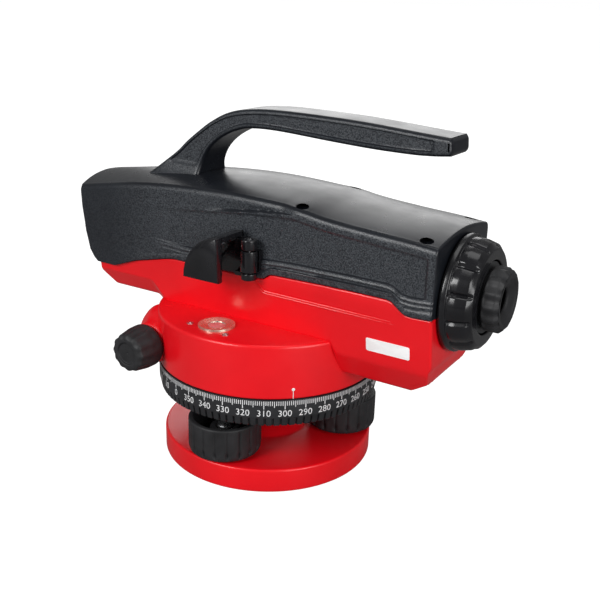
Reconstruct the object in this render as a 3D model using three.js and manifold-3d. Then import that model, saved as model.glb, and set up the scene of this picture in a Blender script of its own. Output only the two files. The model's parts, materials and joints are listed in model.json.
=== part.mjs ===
// Automatic level (surveying instrument): a telescope with a compensator on a turret that turns over a
// graduated circle, above a three-screw levelling base. Millimetres, +Z up, +X towards the eyepiece.
// The origin is the centre of the instrument's bounding box at the underside of the base plate.
import * as THREE from 'three';
import { mergeVertices } from 'three/addons/utils/BufferGeometryUtils.js';
import Module from 'manifold-3d';

const wasm = await Module();
wasm.setup();

// ---- Driving dimensions ----
const AXIS_X = -6.8;             // vertical axis, from the origin
const GAP = 0.3;                 // assembly gap between touching pieces
const OPTICAL_Z = 101.4;         // line of sight above the base
const FOOT_CIRCLE = 37.5;        // radius on which the three foot screws stand
const FOOT_ANGLES = [-90, 30, 150];
const BALL_Z = 9;                // centre of the ball feet
const BALL_R = 4.2;
const BASE_R = 52.7;
const BASE_TOP = 12;
const KNOB_BOTTOM = 13;
const KNOB_TOP = 29.7;
const HEAD_BOTTOM = 33;
const HEAD_TOP = 40.3;
const CIRCLE_R = 55;
const CIRCLE_BOTTOM = 35.7;
const CIRCLE_TOP = 48.8;
const TURRET_R = 55;
const TURRET_BOTTOM = 49.2;
const SHELF_Z = 75;              // flat top of the turret, where the bubble sits
const CEILING = 4;               // thickness of the turret's top
const WALL = 3;
const HALF_WIDTH = 29;           // of the telescope body
const SPINDLE_R = 9.5;
const WHEEL_TEETH = 60;
const WHEEL_PITCH_R = 34.5;
const WORM_PITCH_R = 5;
const WORM_Z = 59.5;
const WORM_LEAD = 2 * Math.PI * WHEEL_PITCH_R / WHEEL_TEETH;
const WORM_X = -(WHEEL_PITCH_R + WORM_PITCH_R);
const FINE_KNOB_START = 46.5;
const FINE_KNOB_END = 61.6;
const PINION_TEETH = 12;
const PINION_MODULE = 0.8;
const PINION_R = PINION_TEETH * PINION_MODULE / 2;
const FOCUS_X = 20;
const FOCUS_Z = 90;
const RACK_Z = FOCUS_Z + PINION_R;
const EYE_END = 97.5;            // outer face of the body's eyepiece end
const BUBBLE = [-3.3, -39.4];
const HINGE = [10.3, -33.2];     // mirror hood's pin
const SCREWS = [[32, 24.3], [90.5, 23.8]];   // cover screws, mirrored to both sides
const CAP_SCREW_HEAD = 2.6;

// ---- Materials ----
const finish = (color, roughness, metalness) => new THREE.MeshStandardMaterial({ color, roughness,
  metalness });
const RED = () => finish(0xd01218, 0.32, 0);
const BLACK_PAINT = () => finish(0x1d1f23, 0.55, 0);
const RUBBER = () => finish(0x17181a, 0.75, 0);
const BLACK_PLASTIC = () => finish(0x141518, 0.35, 0);
const BLACK_METAL = () => finish(0x202226, 0.45, 0.7);
const STEEL = () => finish(0x9fa3a8, 0.3, 1);
const BRASS = () => finish(0xb99545, 0.35, 1);
const ALUMINIUM = () => finish(0xb4b8bc, 0.4, 1);
const GLASS = () => finish(0xbfd2d6, 0.05, 0);
const WHITE = () => finish(0xf2f2f0, 0.5, 0);
const NYLON = () => finish(0xe6e3da, 0.5, 0);

// ---- Geometry helpers ----
function signedVolume(geometry) {
  const p = geometry.attributes.position;
  const index = geometry.index.array;
  const a = new THREE.Vector3();
  const b = new THREE.Vector3();
  const c = new THREE.Vector3();
  let sum = 0;
  for (let i = 0; i < index.length; i += 3) {
    a.fromBufferAttribute(p, index[i]);
    b.fromBufferAttribute(p, index[i + 1]);
    c.fromBufferAttribute(p, index[i + 2]);
    sum += a.dot(b.cross(c));
  }
  return sum / 6;
}

// Merged, outward-facing copy of a closed geometry.
function closed(geometry) {
  const bare = geometry.clone();
  bare.deleteAttribute('normal');
  bare.deleteAttribute('uv');
  const merged = mergeVertices(bare, 1e-4);
  const kept = [];
  const index = merged.index.array;
  for (let i = 0; i < index.length; i += 3) {
    const [a, b, c] = [index[i], index[i + 1], index[i + 2]];
    if (a !== b && b !== c && c !== a) kept.push(a, b, c);
  }
  merged.setIndex(kept);
  if (signedVolume(merged) < 0) merged.setIndex(kept.map((_, i) => kept[i - (i % 3) + 2 - (i % 3)]));
  return merged;
}

function solid(geometry) {
  const g = closed(geometry);
  return new wasm.Manifold(new wasm.Mesh({
    numProp: 3,
    vertProperties: new Float32Array(g.attributes.position.array),
    triVerts: new Uint32Array(g.index.array),
  }));
}

function geometryOf(manifold) {
  const mesh = manifold.getMesh();
  const g = new THREE.BufferGeometry();
  g.setAttribute('position', new THREE.BufferAttribute(new Float32Array(mesh.vertProperties), 3));
  g.setIndex(new THREE.BufferAttribute(new Uint32Array(mesh.triVerts), 1));
  return g;
}

// Turned shape: profile of [radius, height], closed on itself or on the axis, about +Z, +Y or +X.
function turned(profile, segments, axis = 'z', at = [0, 0, 0]) {
  const onAxis = profile[0][0] === 0;
  const points = profile.map(([r, h]) => new THREE.Vector2(r, h));
  if (!onAxis) points.push(points[0].clone());
  const g = new THREE.LatheGeometry(points, segments);
  if (axis === 'z') g.rotateX(Math.PI / 2);
  if (axis === 'x') g.rotateZ(-Math.PI / 2);
  return closed(g).translate(...at);
}

function disc(r, from, to, segments, axis = 'z', at = [0, 0, 0]) {
  return turned([[0, from], [r, from], [r, to], [0, to]], segments, axis, at);
}

function tube(inner, outer, from, to, segments, axis = 'z', at = [0, 0, 0]) {
  return turned([[inner, from], [outer, from], [outer, to], [inner, to]], segments, axis, at);
}

// Outline of [u, v] extruded from one place to another along an axis: x takes (y, z), y (x, z), z (x, y).
function prism(outline, from, to, axis = 'z') {
  const shape = new THREE.Shape(outline.map(([u, v]) => new THREE.Vector2(u, v)));
  const g = new THREE.ExtrudeGeometry(shape, { depth: to - from, bevelEnabled: false });
  g.translate(0, 0, from);
  const basis = {
    x: new THREE.Matrix4().set(0, 0, 1, 0, 1, 0, 0, 0, 0, 1, 0, 0, 0, 0, 0, 1),
    y: new THREE.Matrix4().set(1, 0, 0, 0, 0, 0, 1, 0, 0, 1, 0, 0, 0, 0, 0, 1),
    z: new THREE.Matrix4(),
  };
  return closed(g.applyMatrix4(basis[axis]));
}

function box(lo, hi) {
  const g = new THREE.BoxGeometry(hi[0] - lo[0], hi[1] - lo[1], hi[2] - lo[2]);
  return closed(g.translate((lo[0] + hi[0]) / 2, (lo[1] + hi[1]) / 2, (lo[2] + hi[2]) / 2));
}

// Skin over a row of rings, each with the same number of points, and a flat cap on each end ring.
// capAxes are the two coordinates in which the end rings are flat outlines.
function loft(rings, capAxes = [0, 1]) {
  const n = rings[0].length;
  const index = [];
  for (let k = 0; k + 1 < rings.length; k++) {
    for (let i = 0; i < n; i++) {
      const j = (i + 1) % n;
      index.push(k * n + i, k * n + j, (k + 1) * n + j, k * n + i, (k + 1) * n + j, (k + 1) * n + i);
    }
  }
  const cap = (k, withRing) => {
    const flat = rings[k].map((p) => new THREE.Vector2(p[capAxes[0]], p[capAxes[1]]));
    const ringSign = Math.sign(THREE.ShapeUtils.area(flat));
    for (const [a, b, c] of THREE.ShapeUtils.triangulateShape(flat, [])) {
      const sign = Math.sign(THREE.ShapeUtils.area([flat[a], flat[b], flat[c]]));
      if ((sign === ringSign) === withRing) index.push(k * n + a, k * n + b, k * n + c);
      else index.push(k * n + c, k * n + b, k * n + a);
    }
  };
  cap(0, false);
  cap(rings.length - 1, true);
  const g = new THREE.BufferGeometry();
  g.setAttribute('position', new THREE.Float32BufferAttribute(rings.flat(2), 3));
  g.setIndex(index);
  return closed(g);
}

const join = (...parts) => parts.map((g) => (g.isBufferGeometry ? solid(g) : g)).reduce((a,
  b) => a.add(b));
const cut = (from, ...parts) => parts
  .map((g) => (g.isBufferGeometry ? solid(g) : g))
  .reduce((a, b) => a.subtract(b), from.isBufferGeometry ? solid(from) : from);

const instrument = new THREE.Group();
instrument.position.x = AXIS_X;   // everything below is placed from the vertical axis

function add(name, shape, material, parent = instrument) {
  const mesh = new THREE.Mesh(shape.isBufferGeometry ? shape : geometryOf(shape), material);
  mesh.name = name;
  parent.add(mesh);
  return mesh;
}

// ---- Base plate: round, dished, with three ball sockets and the tripod hole in a raised hub ----
const TRIPOD_HOLE_R = 7;
const SOCKET_R = 8.3;
const SOCKET_FLOOR = 3.4;
const footPlaces = FOOT_ANGLES.map((a) => {
  const t = THREE.MathUtils.degToRad(a);
  return [FOOT_CIRCLE * Math.cos(t), FOOT_CIRCLE * Math.sin(t)];
});
const plateProfile = [
  [TRIPOD_HOLE_R, 0], [BASE_R - 1, 0], [BASE_R, 1], [BASE_R, BASE_TOP - 2.6],
    [BASE_R - 1, BASE_TOP - 0.7],
  [BASE_R - 3.2, BASE_TOP], [44, 11.2], [18, 11.2], [13, 12.6], [11, 14.5], [TRIPOD_HOLE_R, 14.5],
];
const sockets = footPlaces.map(([x, y]) => disc(SOCKET_R, SOCKET_FLOOR, BASE_TOP + 2, 20, 'z',
  [x, y, 0]));
add('base_plate', cut(turned(plateProfile, 48), ...sockets), RED());

// ---- Feet: a seat and a cap hold each ball; the screw carries its knob and threads into a bush ----
const arc = (r, z0, from, to, steps) => Array.from({ length: steps + 1 }, (_, i) => {
  const t = THREE.MathUtils.degToRad(from + (to - from) * i / steps);
  return [r * Math.cos(t), z0 + r * Math.sin(t)];
});
const HOLLOW_R = BALL_R + 0.4;
const NECK_R = 2.8;
const neckAngle = THREE.MathUtils.radToDeg(Math.acos(NECK_R / BALL_R));
const capAngle = THREE.MathUtils.radToDeg(Math.acos((NECK_R + 0.5) / HOLLOW_R));
const seatProfile = [[0, BALL_Z - HOLLOW_R], ...arc(HOLLOW_R, BALL_Z, -72, 0, 4), [7.6, BALL_Z],
  [7.6, 3.8], [0, 3.8]];
const capProfile = [...arc(HOLLOW_R, BALL_Z, 4, capAngle, 3), [NECK_R + 0.5, 12.5], [6.6, 12.5],
  [7.6, 11.5], [7.6, 9.32]];
const screwProfile = [
  [0, BALL_Z - BALL_R], ...arc(BALL_R, BALL_Z, -60, neckAngle, 7), [NECK_R, 13.2], [4, 13.6], [4, 24.5],
  [3.5, 25], [3.5, 42.6], [2.9, 43.2], [0, 43.2],
];
const knobProfile = [
  [4.3, KNOB_BOTTOM], [15.9, KNOB_BOTTOM], [17.2, KNOB_BOTTOM + 1.4], [17.4, KNOB_TOP - 1.4],
    [16.4, KNOB_TOP],
  [15, KNOB_TOP - 0.2], [14.4, 20], [8, 18.6], [7, 24], [4.3, 24],
];
footPlaces.forEach(([x, y], i) => {
  const foot = new THREE.Group();
  foot.position.set(x, y, 0);
  instrument.add(foot);
  add(`foot_seat_${i + 1}`, turned(seatProfile, 14), NYLON(), foot);
  add(`foot_cap_${i + 1}`, turned(capProfile, 14), NYLON(), foot);
  add(`foot_screw_${i + 1}`, turned(screwProfile, 14), STEEL(), foot);
  add(`foot_knob_${i + 1}`, turned(knobProfile, 24), RUBBER(), foot);
  add(`foot_bush_${i + 1}`, tube(3.8, 6, HEAD_BOTTOM - 0.4, HEAD_TOP + 3.4, 16, 'z'), BRASS(), foot);
});

// ---- Levelling head: plate on the three bushes, with the bearing sleeve that the spindle turns in ----
const SLEEVE_R = 20;
const SLEEVE_TOP = 66.5;
const headPlate = turned([
  [SPINDLE_R + GAP, HEAD_BOTTOM], [47.4, HEAD_BOTTOM], [48.4, HEAD_BOTTOM + 1], [48.4, HEAD_TOP],
  [SLEEVE_R + 2, HEAD_TOP], [SLEEVE_R, HEAD_TOP + 2], [SLEEVE_R, SLEEVE_TOP],
    [SPINDLE_R + GAP, SLEEVE_TOP],
], 40);
const bushBosses = footPlaces.map(([x, y]) => disc(8, HEAD_TOP - 2, HEAD_TOP + 3, 20, 'z', [x, y, 0]));
const bushHoles = footPlaces.map(([x, y]) => disc(6.3, HEAD_BOTTOM - 2, HEAD_TOP + 5, 16, 'z',
  [x, y, 0]));
add('levelling_head', cut(join(headPlate, ...bushBosses), ...bushHoles), BLACK_METAL());

// ---- Graduated circle: turned by hand on the head's rim ----
add('graduated_circle', turned([
  [46.4, HEAD_TOP + 0.4], [51.2, HEAD_TOP + 0.4], [51.6, CIRCLE_BOTTOM], [CIRCLE_R - 0.9, CIRCLE_BOTTOM],
  [CIRCLE_R, CIRCLE_BOTTOM + 4.5], [CIRCLE_R, CIRCLE_TOP], [52.6, CIRCLE_TOP], [52.4, HEAD_TOP + 2.6],
  [46.4, HEAD_TOP + 2.6],
], 56), BLACK_METAL());

// ---- Worm wheel, held on the sleeve by a friction spring and nut ----
// Its teeth lean by the worm's lead angle. A gap faces the worm at rest.
const toothHalf = 0.36;           // half thickness at the pitch line over the lead, less the backlash
function gearOutline(teeth, pitchR, addendum, dedendum, half, slope, phase) {
  const points = [];
  for (let k = 0; k < teeth; k++) {
    const middle = phase + 2 * Math.PI * k / teeth;
    const root = half + dedendum * slope;
    const tip = half - addendum * slope;
    for (const [r, s] of [[-dedendum, -root], [addendum, -tip], [addendum, tip], [-dedendum, root]]) {
      const angle = middle + s / pitchR;
      points.push([(pitchR + r) * Math.cos(angle), (pitchR + r) * Math.sin(angle)]);
    }
  }
  return points;
}
const FLANK = 0.44;               // flank slope, tangent of the pressure angle
const WHEEL_HALF_TOOTH = WORM_LEAD * toothHalf / 2 + 0.05;
const WHEEL_HALF_FACE = 2.5;
const leadTwist = WORM_LEAD / (2 * Math.PI * WORM_PITCH_R) / WHEEL_PITCH_R;
const wheelOutline = gearOutline(WHEEL_TEETH, WHEEL_PITCH_R, 0.85, 1.3, WHEEL_HALF_TOOTH, FLANK,
  Math.PI + Math.PI / WHEEL_TEETH);
const wheelRing = (dz) => wheelOutline.map(([x, y]) => {
  const t = leadTwist * dz;
  return [x * Math.cos(t) - y * Math.sin(t), x * Math.sin(t) + y * Math.cos(t), WORM_Z + dz];
});
add('worm_wheel', cut(loft([wheelRing(-WHEEL_HALF_FACE), wheelRing(WHEEL_HALF_FACE)]),
  disc(SLEEVE_R + GAP, WORM_Z - 4, WORM_Z + 4, 32)), BRASS());
add('clutch_spring', tube(SLEEVE_R + GAP, 26.5, WORM_Z + 2.8, WORM_Z + 3.5, 28), STEEL());
add('clutch_nut', tube(SLEEVE_R + GAP, 27, WORM_Z + 3.8, SLEEVE_TOP - 0.2, 28), BLACK_METAL());

// ---- Spindle: hangs from the turret's top and turns in the sleeve ----
add('spindle', turned([
  [0, HEAD_BOTTOM + 1], [SPINDLE_R - 0.8, HEAD_BOTTOM + 1], [SPINDLE_R, HEAD_BOTTOM + 2],
  [SPINDLE_R, SLEEVE_TOP + 0.4], [17, SLEEVE_TOP + 0.4], [17, SHELF_Z - CEILING - GAP],
  [0, SHELF_Z - CEILING - GAP],
], 28), STEEL());
add('spindle_retainer', disc(14, HEAD_BOTTOM - 3.1, HEAD_BOTTOM - 0.35, 24), STEEL());

// ---- Tangent screw: worm on a shaft across the turret, with a knob on each end ----
const WORM_ROOT_R = WORM_PITCH_R - 1.3;
function wormThread(turns, around) {
  const half = WHEEL_HALF_TOOTH;
  const section = [[WORM_ROOT_R - 0.4, -half - 1.7 * FLANK], [WORM_PITCH_R + 0.85, -half + 0.85 * FLANK],
    [WORM_PITCH_R + 0.85, half - 0.85 * FLANK], [WORM_ROOT_R - 0.4, half + 1.7 * FLANK]];
  const rings = [];
  for (let k = 0; k <= turns * around; k++) {
    const turn = k / around - turns / 2;
    const t = Math.PI / 2 + 2 * Math.PI * turn;
    rings.push(section.map(([r, s]) => [r * Math.sin(t), s + WORM_LEAD * turn, r * Math.cos(t)]));
  }
  return loft(rings);
}
const SHAFT_R = 3;
const shaft = turned([
  [0, -FINE_KNOB_END + 3], [SHAFT_R, -FINE_KNOB_END + 3], [SHAFT_R, FINE_KNOB_END - 3],
    [0, FINE_KNOB_END - 3],
], 16, 'y');
const worm = new THREE.Group();
worm.position.set(WORM_X, 0, WORM_Z);
instrument.add(worm);
const wormCore = disc(WORM_ROOT_R, -9.5, 9.5, 16, 'y');
add('tangent_screw', join(wormCore, wormThread(4, 16), shaft), STEEL(), worm);
const fineKnob = (side) => turned([
  [SHAFT_R + GAP, FINE_KNOB_START], [9.6, FINE_KNOB_START], [10.4, FINE_KNOB_START + 1.2],
  [10.3, FINE_KNOB_START + 7], [9, FINE_KNOB_END - 1.4], [7.8, FINE_KNOB_END], [0, FINE_KNOB_END],
  [0, FINE_KNOB_END - 2.6], [SHAFT_R + GAP, FINE_KNOB_END - 2.6],
], 24, 'y').scale(1, side, 1);
for (const [side, word] of [[-1, 'left'], [1, 'right']]) {
  add(`fine_knob_${word}`, closed(fineKnob(side)), RUBBER(), worm);
}

// ---- Telescope body: an outer form cut in two at the seam, the red housing below and the cover above
// ----
// Height of the roof's edge and of the seam along the body, as [x, z].
const ROOF_EDGE = [[-112, 125.2], [-97, 127], [-63, 131.6], [-32, 134], [-3, 134.4], [32, 132.8],
  [53, 130.8],
  [72, 128.7], [92, 127.2], [102, 126.8]];
const CROWN = 3;
const NOSE_BULGE = 8.2;
const SEAM = [[-112, 88.2], [-79, 88.2], [-69, 90.8], [-60, 93.5], [-52, 95.4], [-42, 97.6], [-32, 98.4],
  [4, 98.2],
  [15, 98.4], [19, 101.2], [79, 100.8], [83, 98.6], [87, 96.4], [102, 96.6]];

// One cross-section (y, z), from the underside round over the roof; inset makes the hollow's.
function bodySection(x, edge, under, inset) {
  const [[yb, zb], [ym, zm]] = under;
  const w = HALF_WIDTH - inset;
  const top = edge - inset;
  const half = [[yb - inset * 0.7, zb + inset], [ym - inset, zm + inset * 0.4], [w, 98], [w, top - 4.6],
    [w - 0.8, top - 1.6],
    [w - 3.4, top], [w - 11.6, top + CROWN * 0.6], [w - 20.5, top + CROWN * 0.92]];
  const left = half.map(([y, z]) => [x, -y, z]).reverse();
  return [...half.map(([y, z]) => [x, y, z]), ...left];
}
const UNDER_NOSE = [[22, SHELF_Z], [27.2, 84]];
const UNDER_MIDDLE = [[24.6, SHELF_Z - CEILING], [25.5, SHELF_Z]];
const UNDER_EYEPIECE = [[18, 58], [25, 70]];
const underAt = (x) => {
  if (x < -51) return UNDER_NOSE;
  return x < 46 ? UNDER_MIDDLE : UNDER_EYEPIECE;
};
function bodyForm(inset) {
  const stations = [...ROOF_EDGE, [-52, 132.5], [-50, 132.7], [44, 131.7],
    [48, 131.3]].sort((a, b) => a[0] - b[0]);
  return solid(loft(stations.map(([x, z]) => bodySection(x, z, underAt(x), inset)), [1, 2]));
}

// Plan outline at one height: a blunt wedge at the nose and a square eyepiece end.
function planRing(z, nose, eye, inset) {
  const w = HALF_WIDTH + 1 - inset;
  const half = [[nose - NOSE_BULGE * 0.62, 14], [nose, 28 - inset], [nose + 5, w], [eye - 1.5, w],
    [eye, w - 1.7]];
  const near = half.map(([x, y]) => [x, -y, z]);
  return [[nose - NOSE_BULGE, 0, z], ...near, ...half.map(([x, y]) => [x, y, z]).reverse()];
}
const planForm = (levels, inset) => solid(loft(levels.map(([z, nose, eye]) => planRing(z, nose, eye,
  inset))));
const coverPlan = planForm([[84, -85.5, EYE_END], [87.6, -86.8, EYE_END], [90, -90.4, EYE_END],
  [94, -93, EYE_END],
  [103, -95, EYE_END], [116, -96.8, EYE_END], [127, -97.5, EYE_END], [141, -97.9, EYE_END]], 0);
const housingPlan = planForm([[56, -76, 84.5], [58, -78, 86.5], [64, -80, 95], [71, -80.6, 97],
  [75, -80.6, EYE_END],
  [83, -86.8, EYE_END], [108, -86.8, EYE_END]], 0);
const hollowPlan = planForm([[60, -73, 91], [79, -76, EYE_END - WALL], [86, -82.8, EYE_END - WALL],
  [95, -88.5, EYE_END - WALL], [141, -92.5, EYE_END - WALL]], WALL);

const seamOutline = (shift, edgeZ) => prism([...SEAM.map(([x, z]) => [x, z + shift]), [102, edgeZ],
  [-112, edgeZ]], -40, 40, 'y');
const aboveSeam = solid(seamOutline(0, 145));
const belowSeam = solid(seamOutline(-GAP, 50));

const hollowForm = bodyForm(WALL).intersect(hollowPlan);
const shallowHollow = hollowForm.subtract(solid(box([56.5, -40, 50], [110, 40, SHELF_Z])))
  .subtract(solid(box([-60, -40, 50], [57, 40, SHELF_Z])));
const deepHollow = hollowForm.intersect(solid(box([57.5, -40, 55], [110, 40, SHELF_Z + 1])));
const bodyHollow = shallowHollow.add(deepHollow);

const OBJECTIVE_BORE_R = 20;
const EYEPIECE_BORE_R = 16;
const objectiveBore = solid(disc(OBJECTIVE_BORE_R, -115, -76, 36, 'x', [0, 0, OPTICAL_Z]));
const eyepieceBore = solid(disc(EYEPIECE_BORE_R, 90, 102, 32, 'x', [0, 0, OPTICAL_Z]));
const objectiveBarrel = solid(disc(OBJECTIVE_BORE_R + 2.4, -92, -78, 36, 'x', [0, 0, OPTICAL_Z]));
const bothSides = (make) => [-1, 1].map(make).reduce((a, b) => a.add(b));
const screwColumns = SCREWS.map(([x, y]) => bothSides((s) => solid(disc(4.2, 62, 140, 12, 'z',
  [x, s * y, 0]))))
  .reduce((a, b) => a.add(b));

// ---- Top cover, cast with its carrying handle ----
const HANDLE = [[-66, 130], [-62.5, 136.2], [-49.5, 146.9], [-43.6, 152.2], [-36.2, 157.8],
  [-29.5, 162.4],
  [-20.2, 167.4], [-9, 170.2], [6, 171.6], [33, 171.1], [56, 169.8], [74, 168.5], [91.5, 167.4],
    [92.4, 159.6], [80, 158.6],
  [63, 158.3], [37, 159.8], [12, 161.2], [-8, 161.5], [-14.5, 159.7], [-20.2, 157.2], [-25.5, 153.7],
    [-31, 148.6],
  [-35, 142.5], [-37.7, 136.5], [-38.5, 130]];
const HANDLE_HALF = 10;
const coverShell = coverPlan.intersect(bodyForm(0)).intersect(aboveSeam);
const hingeBlock = join(disc(3.8, 102.3, 112, 16, 'z', [...HINGE, 0]),
  box([HINGE[0] - 3.8, HINGE[1], 102.3], [HINGE[0] + 3.8, -HALF_WIDTH + 2, 112]));
const coverColumns = screwColumns.add(objectiveBarrel).intersect(coverShell);
const coverBody = coverShell.subtract(bodyHollow).add(coverColumns).add(hingeBlock)
  .add(solid(prism(HANDLE, -HANDLE_HALF, HANDLE_HALF, 'y')).subtract(bodyHollow));
function roofAt(x, y) {
  const i = ROOF_EDGE.findIndex(([sx]) => sx > x);
  const [[x0, z0], [x1, z1]] = [ROOF_EDGE[i - 1], ROOF_EDGE[i]];
  return z0 + (z1 - z0) * (x - x0) / (x1 - x0) + CROWN * 0.06 * (25.6 - Math.abs(y));
}
function screwHole(x, y) {
  const z = roofAt(x, y);
  return turned([[0, 90], [1.8, 90], [1.8, z - 4.2], [CAP_SCREW_HEAD + GAP, z - 4.2],
    [CAP_SCREW_HEAD + GAP, 142],
    [0, 142]], 12, 'z', [x, y, 0]);
}
const screwHoles = SCREWS.map(([x, y]) => bothSides((s) => solid(screwHole(x, s * y)))).reduce((a,
  b) => a.add(b));
const pinBore = solid(disc(1.5, 95, 120, 12, 'z', [...HINGE, 0]));
add('top_cover', cut(coverBody, objectiveBore, eyepieceBore, screwHoles, pinBore), BLACK_PAINT());
SCREWS.forEach(([x, y], i) => [-1, 1].forEach((s, k) => {
  const top = roofAt(x, y) - 1.2;
  add(`cover_screw_${2 * i + k + 1}`, turned([[0, 91], [1.5, 91], [1.5, top - 2.6],
    [CAP_SCREW_HEAD, top - 2.6],
    [CAP_SCREW_HEAD, top], [1.3, top], [1.3, top - 1.5], [0, top - 1.5]], 12, 'z', [x, s * y, 0]),
      BLACK_METAL());
}));

// ---- Lower housing: the turret and the trough of the telescope, one casting ----
const turretCup = cut(turned([[0, TURRET_BOTTOM], [TURRET_R, TURRET_BOTTOM], [TURRET_R, SHELF_Z - 2],
  [TURRET_R - 0.7, SHELF_Z - 0.6], [TURRET_R - 2.4, SHELF_Z], [0, SHELF_Z]], 60),
disc(TURRET_R - 3.5, TURRET_BOTTOM - 1, SHELF_Z - CEILING, 60));
const knobBosses = bothSides((s) => solid(closed(turned([[SHAFT_R + GAP, 33.6], [10.2, 33.6],
  [10.2, 44], [9.4, 45.2], [SHAFT_R + GAP, 45.2]], 24, 'y').scale(1, s, 1).translate(WORM_X, 0,
    WORM_Z))));
const trough = housingPlan.intersect(bodyForm(0)).intersect(belowSeam);
const turretCavity = solid(disc(TURRET_R - 3.5, 40, SHELF_Z - CEILING, 60));
const shaftWay = solid(disc(SHAFT_R + GAP, -46, 46, 16, 'y', [WORM_X, 0, WORM_Z]));
const focusBoss = solid(disc(8, 23, 30, 20, 'y', [FOCUS_X, 0, FOCUS_Z]));
const focusBore = solid(disc(3.3, 18, 32, 16, 'y', [FOCUS_X, 0, FOCUS_Z]));
const RAIL_Y = 17.5;
const RAIL_Z = 104.5;
const railPlate = (x, openR) => cut(box([x, -20.2, SHELF_Z - 2], [x + 3, 20.2, 109]),
  disc(openR, x - 1, x + 4, 20, 'x', [0, 0, OPTICAL_Z]), box([x - 1, 13.2, 93.6], [x + 4, 17.4, 98.8]),
  disc(2.3, x - 1, x + 4, 8, 'x', [0, RAIL_Y, RAIL_Z]), disc(2.3, x - 1, x + 4, 8, 'x',
    [0, -RAIL_Y, RAIL_Z]));
const bubblePocket = solid(disc(9, 60, 80, 28, 'z', [...BUBBLE, 0]));
const bubbleScrews = [[-15.2, -44], [6.7, -46.2]];
const bubbleScrewHoles = bubbleScrews.map(([x, y]) => disc(1.9, 69, 77, 10, 'z', [x, y, 0]));
const housingColumns = screwColumns.add(objectiveBarrel).intersect(trough);
const housing = trough.subtract(bodyHollow).subtract(turretCavity)
  .add(housingColumns.subtract(turretCavity)).add(turretCup).add(knobBosses).subtract(shaftWay)
  .add(focusBoss).subtract(focusBore)
  .add(railPlate(-52, 14)).add(railPlate(27, 12)).subtract(bubblePocket)
  .subtract(objectiveBore).subtract(eyepieceBore).subtract(screwHoles);
add('lower_housing', cut(housing, ...bubbleScrewHoles), RED());

// ---- Round bubble in its cell, with two adjusting screws ----
add('bubble_cell', turned([[0, 67.6], [8.6, 67.6], [8.7, 75.4], [8.3, 76], [6.9, 76], [6.9, 70.5],
  [0, 70.5]], 28, 'z',
  [...BUBBLE, 0]), ALUMINIUM());
add('bubble_vial', turned([[0, 70.8], [6.6, 70.8], [6.6, 75.5], [4, 75.75], [0, 75.85]], 24, 'z',
  [...BUBBLE, 0]), GLASS());
bubbleScrews.forEach(([x, y], i) => add(`bubble_screw_${i + 1}`,
  turned([[0, 69.5], [1.6, 69.5], [1.6, 75],
  [0.9, 75.5], [0, 75.5]], 10, 'z', [x, y, 0]), STEEL()));

// ---- Mirror hood: swings out on a vertical pin; its mirror shows the bubble to an observer at the
// eyepiece ----
const HOOD_OUTER = -50.6;
const HOOD_INNER = -30.3;
const hoodOutline = [[5.6, 99.6], [5.6, 120.2], [1, 119.6], [-4, 117.6], [-8.4, 114], [-11.6, 109.5],
  [-13.4, 104.5],
  [-13.8, 99.8]];
const hoodRoom = [[8, 95], [8, 117.6], [3.6, 117.6], [-11.4, 102.2], [-11.4, 95]];
const hoodCentre = cut(prism(hoodOutline, HOOD_OUTER, HOOD_INNER, 'y'),
  prism(hoodRoom, HOOD_OUTER + 2.2, HOOD_INNER - 2, 'y'));
const knuckle = (from, to) => join(disc(3.6, from, to, 14, 'z', [...HINGE, 0]),
  box([3.8, HINGE[1] - 1, from], [HINGE[0], HINGE[1] + 2.9, to]));
const hood = hoodCentre.add(knuckle(112.4, 116.2)).add(knuckle(99.7,
  101.9)).subtract(solid(disc(1.5, 95, 120, 12, 'z', [...HINGE, 0])));
add('mirror_hood', hood, BLACK_PLASTIC());
const mirror = prism([[3.6, 116.9], [-10.9, 102], [-9.9, 101],
  [4.6, 115.9]].map(([x, z]) => [x - 0.1, z + 0.1]),
  HOOD_OUTER + 2.6, HINGE[1] - 1.4, 'y');
add('bubble_mirror', mirror, finish(0xd8dde0, 0.05, 1));
add('hinge_pin', disc(1.2, 100, 116, 12, 'z', [...HINGE, 0]), STEEL());

// ---- Objective ----
const along = (profile, segments, x = 0) => turned(profile, segments, 'x', [x, 0, OPTICAL_Z]);
add('objective_cell', along([[17.9, -94.5], [19.7, -94.5], [19.7, -77], [17.2, -77], [17.2, -86.2],
  [17.9, -86.2]], 32), BLACK_METAL());
add('objective_lens', along([[0, -93.2], [9, -92.4], [17.5, -90.2], [17.5, -87.6], [9, -86.9],
  [0, -86.6]], 28), GLASS());

// ---- Focusing: carriage with its lens on two rods, moved by a rack and the focus knob's pinion ----
const CARRIAGE = [-34, -10];
const rails = new THREE.Group();
rails.position.set(0, 0, RAIL_Z);
instrument.add(rails);
for (const [s, word] of [[-1, 'left'], [1, 'right']]) {
  add(`focus_rail_${word}`, disc(2, -51.6, 29.6, 10, 'x', [0, s * RAIL_Y, 0]), STEEL(), rails);
}
const rackPitch = Math.PI * PINION_MODULE;
const rackOutline = [[CARRIAGE[0] + 2, RACK_Z + 3.4], [CARRIAGE[0] + 2, RACK_Z + 0.9]];
const RACK_FLANK = 0.36;
const RACK_HALF = 0.47;
for (let k = -6; k <= 6; k++) {
  const x = FOCUS_X + (k + 0.5) * rackPitch;
  for (const [dz, dx] of [[0.9, -RACK_HALF - 0.9 * RACK_FLANK], [-0.6, -RACK_HALF + 0.6 * RACK_FLANK],
    [-0.6, RACK_HALF - 0.6 * RACK_FLANK], [0.9, RACK_HALF + 0.9 * RACK_FLANK]]) {
    rackOutline.push([x + dx, RACK_Z + dz]);
  }
}
rackOutline.push([FOCUS_X + 7 * rackPitch + 1, RACK_Z + 0.9], [FOCUS_X + 7 * rackPitch + 1,
  RACK_Z + 3.4]);
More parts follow.
